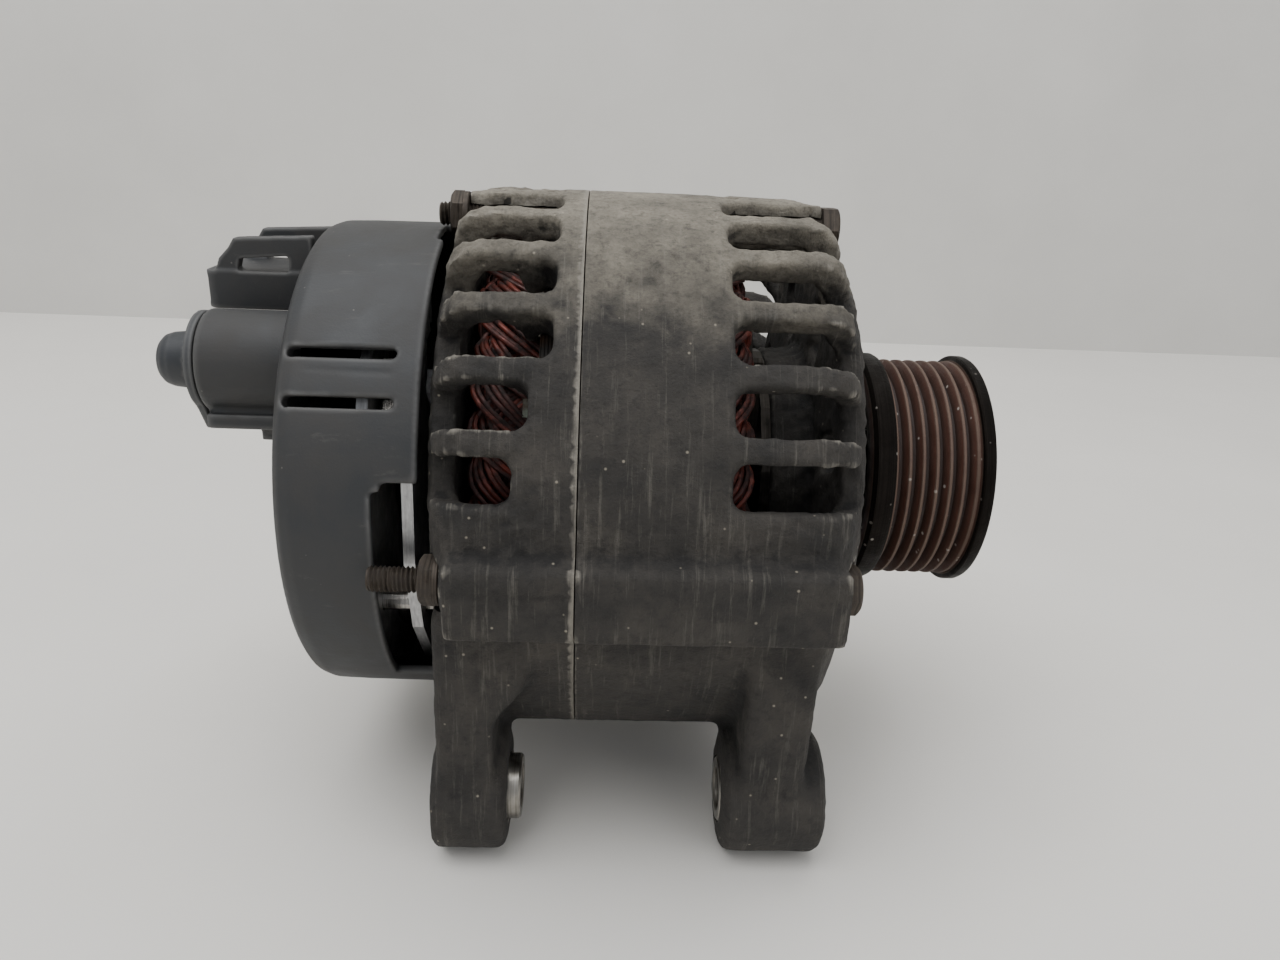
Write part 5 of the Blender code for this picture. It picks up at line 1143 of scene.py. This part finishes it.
class ALTERNATOR_OT_pulley(bpy.types.Operator):
    """Models the belt pulley and its nut"""
    bl_idname = "alternator.pulley"
    bl_label = "Pulley"

    def execute(self, context):
        pulley = mark_edges(belt_pulley(), 0.6)
        crest = span("pulley", "y")[1] - 1.6
        done(pulley, "belt_pulley", rusty_pulley_steel(crest, crest - 2.7), "rotor", "pulley_steel",
             "pulley", smooth=30)
        dark = plain_metal("blackened_nut_steel", "#1f1d1b", "#4c4742", 0.45, dirty=0.4)
        low, high = span("pulley_nut", "x")
        nut = hex_nut("nut", low, high, 24.0, 8.7, (0, 0))
        done(nut, "pulley_hex_nut", dark, "rotor", "black_steel", "pulley_nut", smooth=30)
        paint(dark, "pulley_washer")
        return {"FINISHED"}


class ALTERNATOR_OT_fasteners(bpy.types.Operator):
    """Models the through bolts, their nuts and the ears' bushes"""
    bl_idname = "alternator.fasteners"
    bl_label = "Bolts and bushes"

    def execute(self, context):
        grimy = plain_metal("grimy_zinc_steel", "#2c2722", "#6b6157", 0.55, 0.8, dirty=0.7,
                            dirt="#231e1a", depth=0.00012)
        bright = plain_metal("machined_steel", "#77736c", "#b5b1a9", 0.32, across=0.0003, dirty=0.3)
        for index, spot in enumerate(BOLTS):
            node = f"through_bolt_{index + 1}"
            low, high = span(node, "x")
            thread = threaded("thread", low, NUT_SEAT + 4, 3.0, 1.0, spot)
            shank = rod("shank", NUT_SEAT + 3.5, HEAD_SEAT + 1, 2.7, 24, spot)
            head = hex_nut("head", -high, -HEAD_SEAT - 0.3, 10.0, 0.6, spot, 0)
            head.data.transform(Matrix.Translation(CORE) @ Matrix.Diagonal((-1, 1, 1, 1))
                                @ Matrix.Translation(-CORE))
            head.data.flip_normals()
            bolt = joined("bolt", [thread, shank, head])
            done(bolt, f"shell_bolt_{index + 1}", grimy, "housing", "black_steel", node, smooth=30)
            low, high = span(f"bolt_nut_{index + 1}", "x")
            nut = hex_nut("nut", low, high - 1.3, 10.0, 3.05, spot, 12 + index * 17, 1.3, 5.6)
            done(nut, f"shell_nut_{index + 1}", grimy, "housing", "black_steel",
                 f"bolt_nut_{index + 1}", smooth=30)
        for node, body in (("front_ear_bush", "housing"), ("rear_ear_bush", "rear_bush")):
            low, high = span(node, "x")
            bush = [(low, 5.6), (low + 0.4, 5.2), (high - 0.4, 5.2), (high, 5.6), (high, 7.5),
                    (high - 0.5, 8.0), (low + 0.5, 8.0), (low, 7.5)]
            piece = turned("bush", bush, 64, NEAR_EAR)
            done(piece, f"{node}_turning", bright, body, "bright_steel", node, smooth=30)
        return {"FINISHED"}


class ALTERNATOR_OT_winding(bpy.types.Operator):
    """Models the stator winding and finishes the core"""
    bl_idname = "alternator.winding"
    bl_label = "Winding"

    def execute(self, context):
        sizes = context.scene.alternator_winding
        copper = enamelled_wire()
        done(winding_wires(sizes), "winding_wires", copper, "housing", "copper_wire", "stator_winding",
             smooth=60)
        done(winding_base(), "winding_base", copper, "housing", "copper_wire", smooth=40)
        done(slot_liners(), "slot_liners", slot_paper(), "housing", "copper_wire", smooth=30)
        paint(stacked_sheet(), "stator_core")
        return {"FINISHED"}


class ALTERNATOR_OT_inside(bpy.types.Operator):
    """Finishes the pieces inside: rotor, bearings, brushes and rectifier"""
    bl_idname = "alternator.inside"
    bl_label = "Inner pieces"

    def execute(self, context):
        steel = plain_metal("ground_bearing_steel", "#8b8782", "#c3c0ba", 0.22, across=0.0002)
        forged = plain_metal("forged_black_steel", "#211f1d", "#4a4641", 0.5, dirty=0.4)
        sink = plain_metal("stamped_aluminium", "#8f8f90", "#c6c6c6", 0.38, along=0.004, dirty=0.3)
        coil = plain_metal("varnished_copper_coil", "#5e2a1a", "#a65432", 0.4, 0.5, across=0.0009)
        ring = plain_metal("slip_ring_copper", "#8a4a2c", "#c67a4e", 0.28, across=0.00015)
        nylon = moulded_plastic("black_nylon", "#1f2123", "#3d3a37", gloss=0.5, dust=0.2)
        carbon = moulded_plastic("pressed_carbon", "#1a1a1b", "#2c2c2d", grain=0.0003, gloss=0.42,
                                 dust=0.1)
        tin = plain_metal("tinned_brass", "#9a9484", "#cbc6b6", 0.3, across=0.0004)
        paint(steel, "rotor_shaft", "spacer_collar", "front_bearing_outer_race",
              "front_bearing_inner_race", "rear_bearing_outer_race", "rear_bearing_inner_race",
              "front_bearing_balls", "rear_bearing_balls", "terminal_stud", "terminal_nut",
              "cover_screw_1", "cover_screw_2", "cover_screw_3", "brush_spring_1", "brush_spring_2")
        paint(steel, *[f"{kind}_diode_{index}" for kind in ("negative", "positive") for index in (1, 2, 3)])
        paint(forged, "front_claw_pole", "rear_claw_pole", "front_fan", "rear_fan", "bearing_retainer")
        paint(sink, "negative_heat_sink", "positive_heat_sink")
        paint(coil, "field_coil")
        paint(ring, "slip_ring_inner", "slip_ring_outer")
        paint(nylon, "coil_bobbin", "slip_ring_sleeve", "brush_holder", "regulator")
        paint(carbon, "brush_1", "brush_2")
        paint(tin, "socket_pin_1", "socket_pin_2", "socket_pin_3")
        return {"FINISHED"}


class ALTERNATOR_PT_panel(bpy.types.Panel):
    """Lists the alternator's operators and settings"""
    bl_idname = "ALTERNATOR_PT_panel"
    bl_label = "Car alternator"
    bl_space_type = "VIEW_3D"
    bl_region_type = "UI"
    bl_category = "Alternator"

    def draw(self, context):
        for operator in OPERATORS:
            self.layout.operator(operator.bl_idname)
        for group in ("alternator_shells", "alternator_winding", "alternator_stage"):
            settings = getattr(context.scene, group)
            for name in settings.__annotations__:
                self.layout.prop(settings, name)


OPERATORS = (ALTERNATOR_OT_stage, ALTERNATOR_OT_shells, ALTERNATOR_OT_rear_end, ALTERNATOR_OT_pulley,
             ALTERNATOR_OT_fasteners, ALTERNATOR_OT_winding, ALTERNATOR_OT_inside)
CLASSES = (ShellSettings, WindingSettings, StageSettings, *OPERATORS, ALTERNATOR_PT_panel)


def register():
    """Registers the settings, operators and panel."""
    for item in CLASSES:
        bpy.utils.register_class(item)
    bpy.types.Scene.alternator_shells = PointerProperty(type=ShellSettings)
    bpy.types.Scene.alternator_winding = PointerProperty(type=WindingSettings)
    bpy.types.Scene.alternator_stage = PointerProperty(type=StageSettings)


def unregister():
    """Takes the settings, operators and panel away again."""
    del bpy.types.Scene.alternator_stage
    del bpy.types.Scene.alternator_winding
    del bpy.types.Scene.alternator_shells
    for item in reversed(CLASSES):
        bpy.utils.unregister_class(item)


def main():
    """Makes every piece in turn."""
    register()
    for operator in OPERATORS:
        getattr(bpy.ops.alternator, operator.bl_idname.split(".")[1])()


if __name__ == "__main__":
    main()
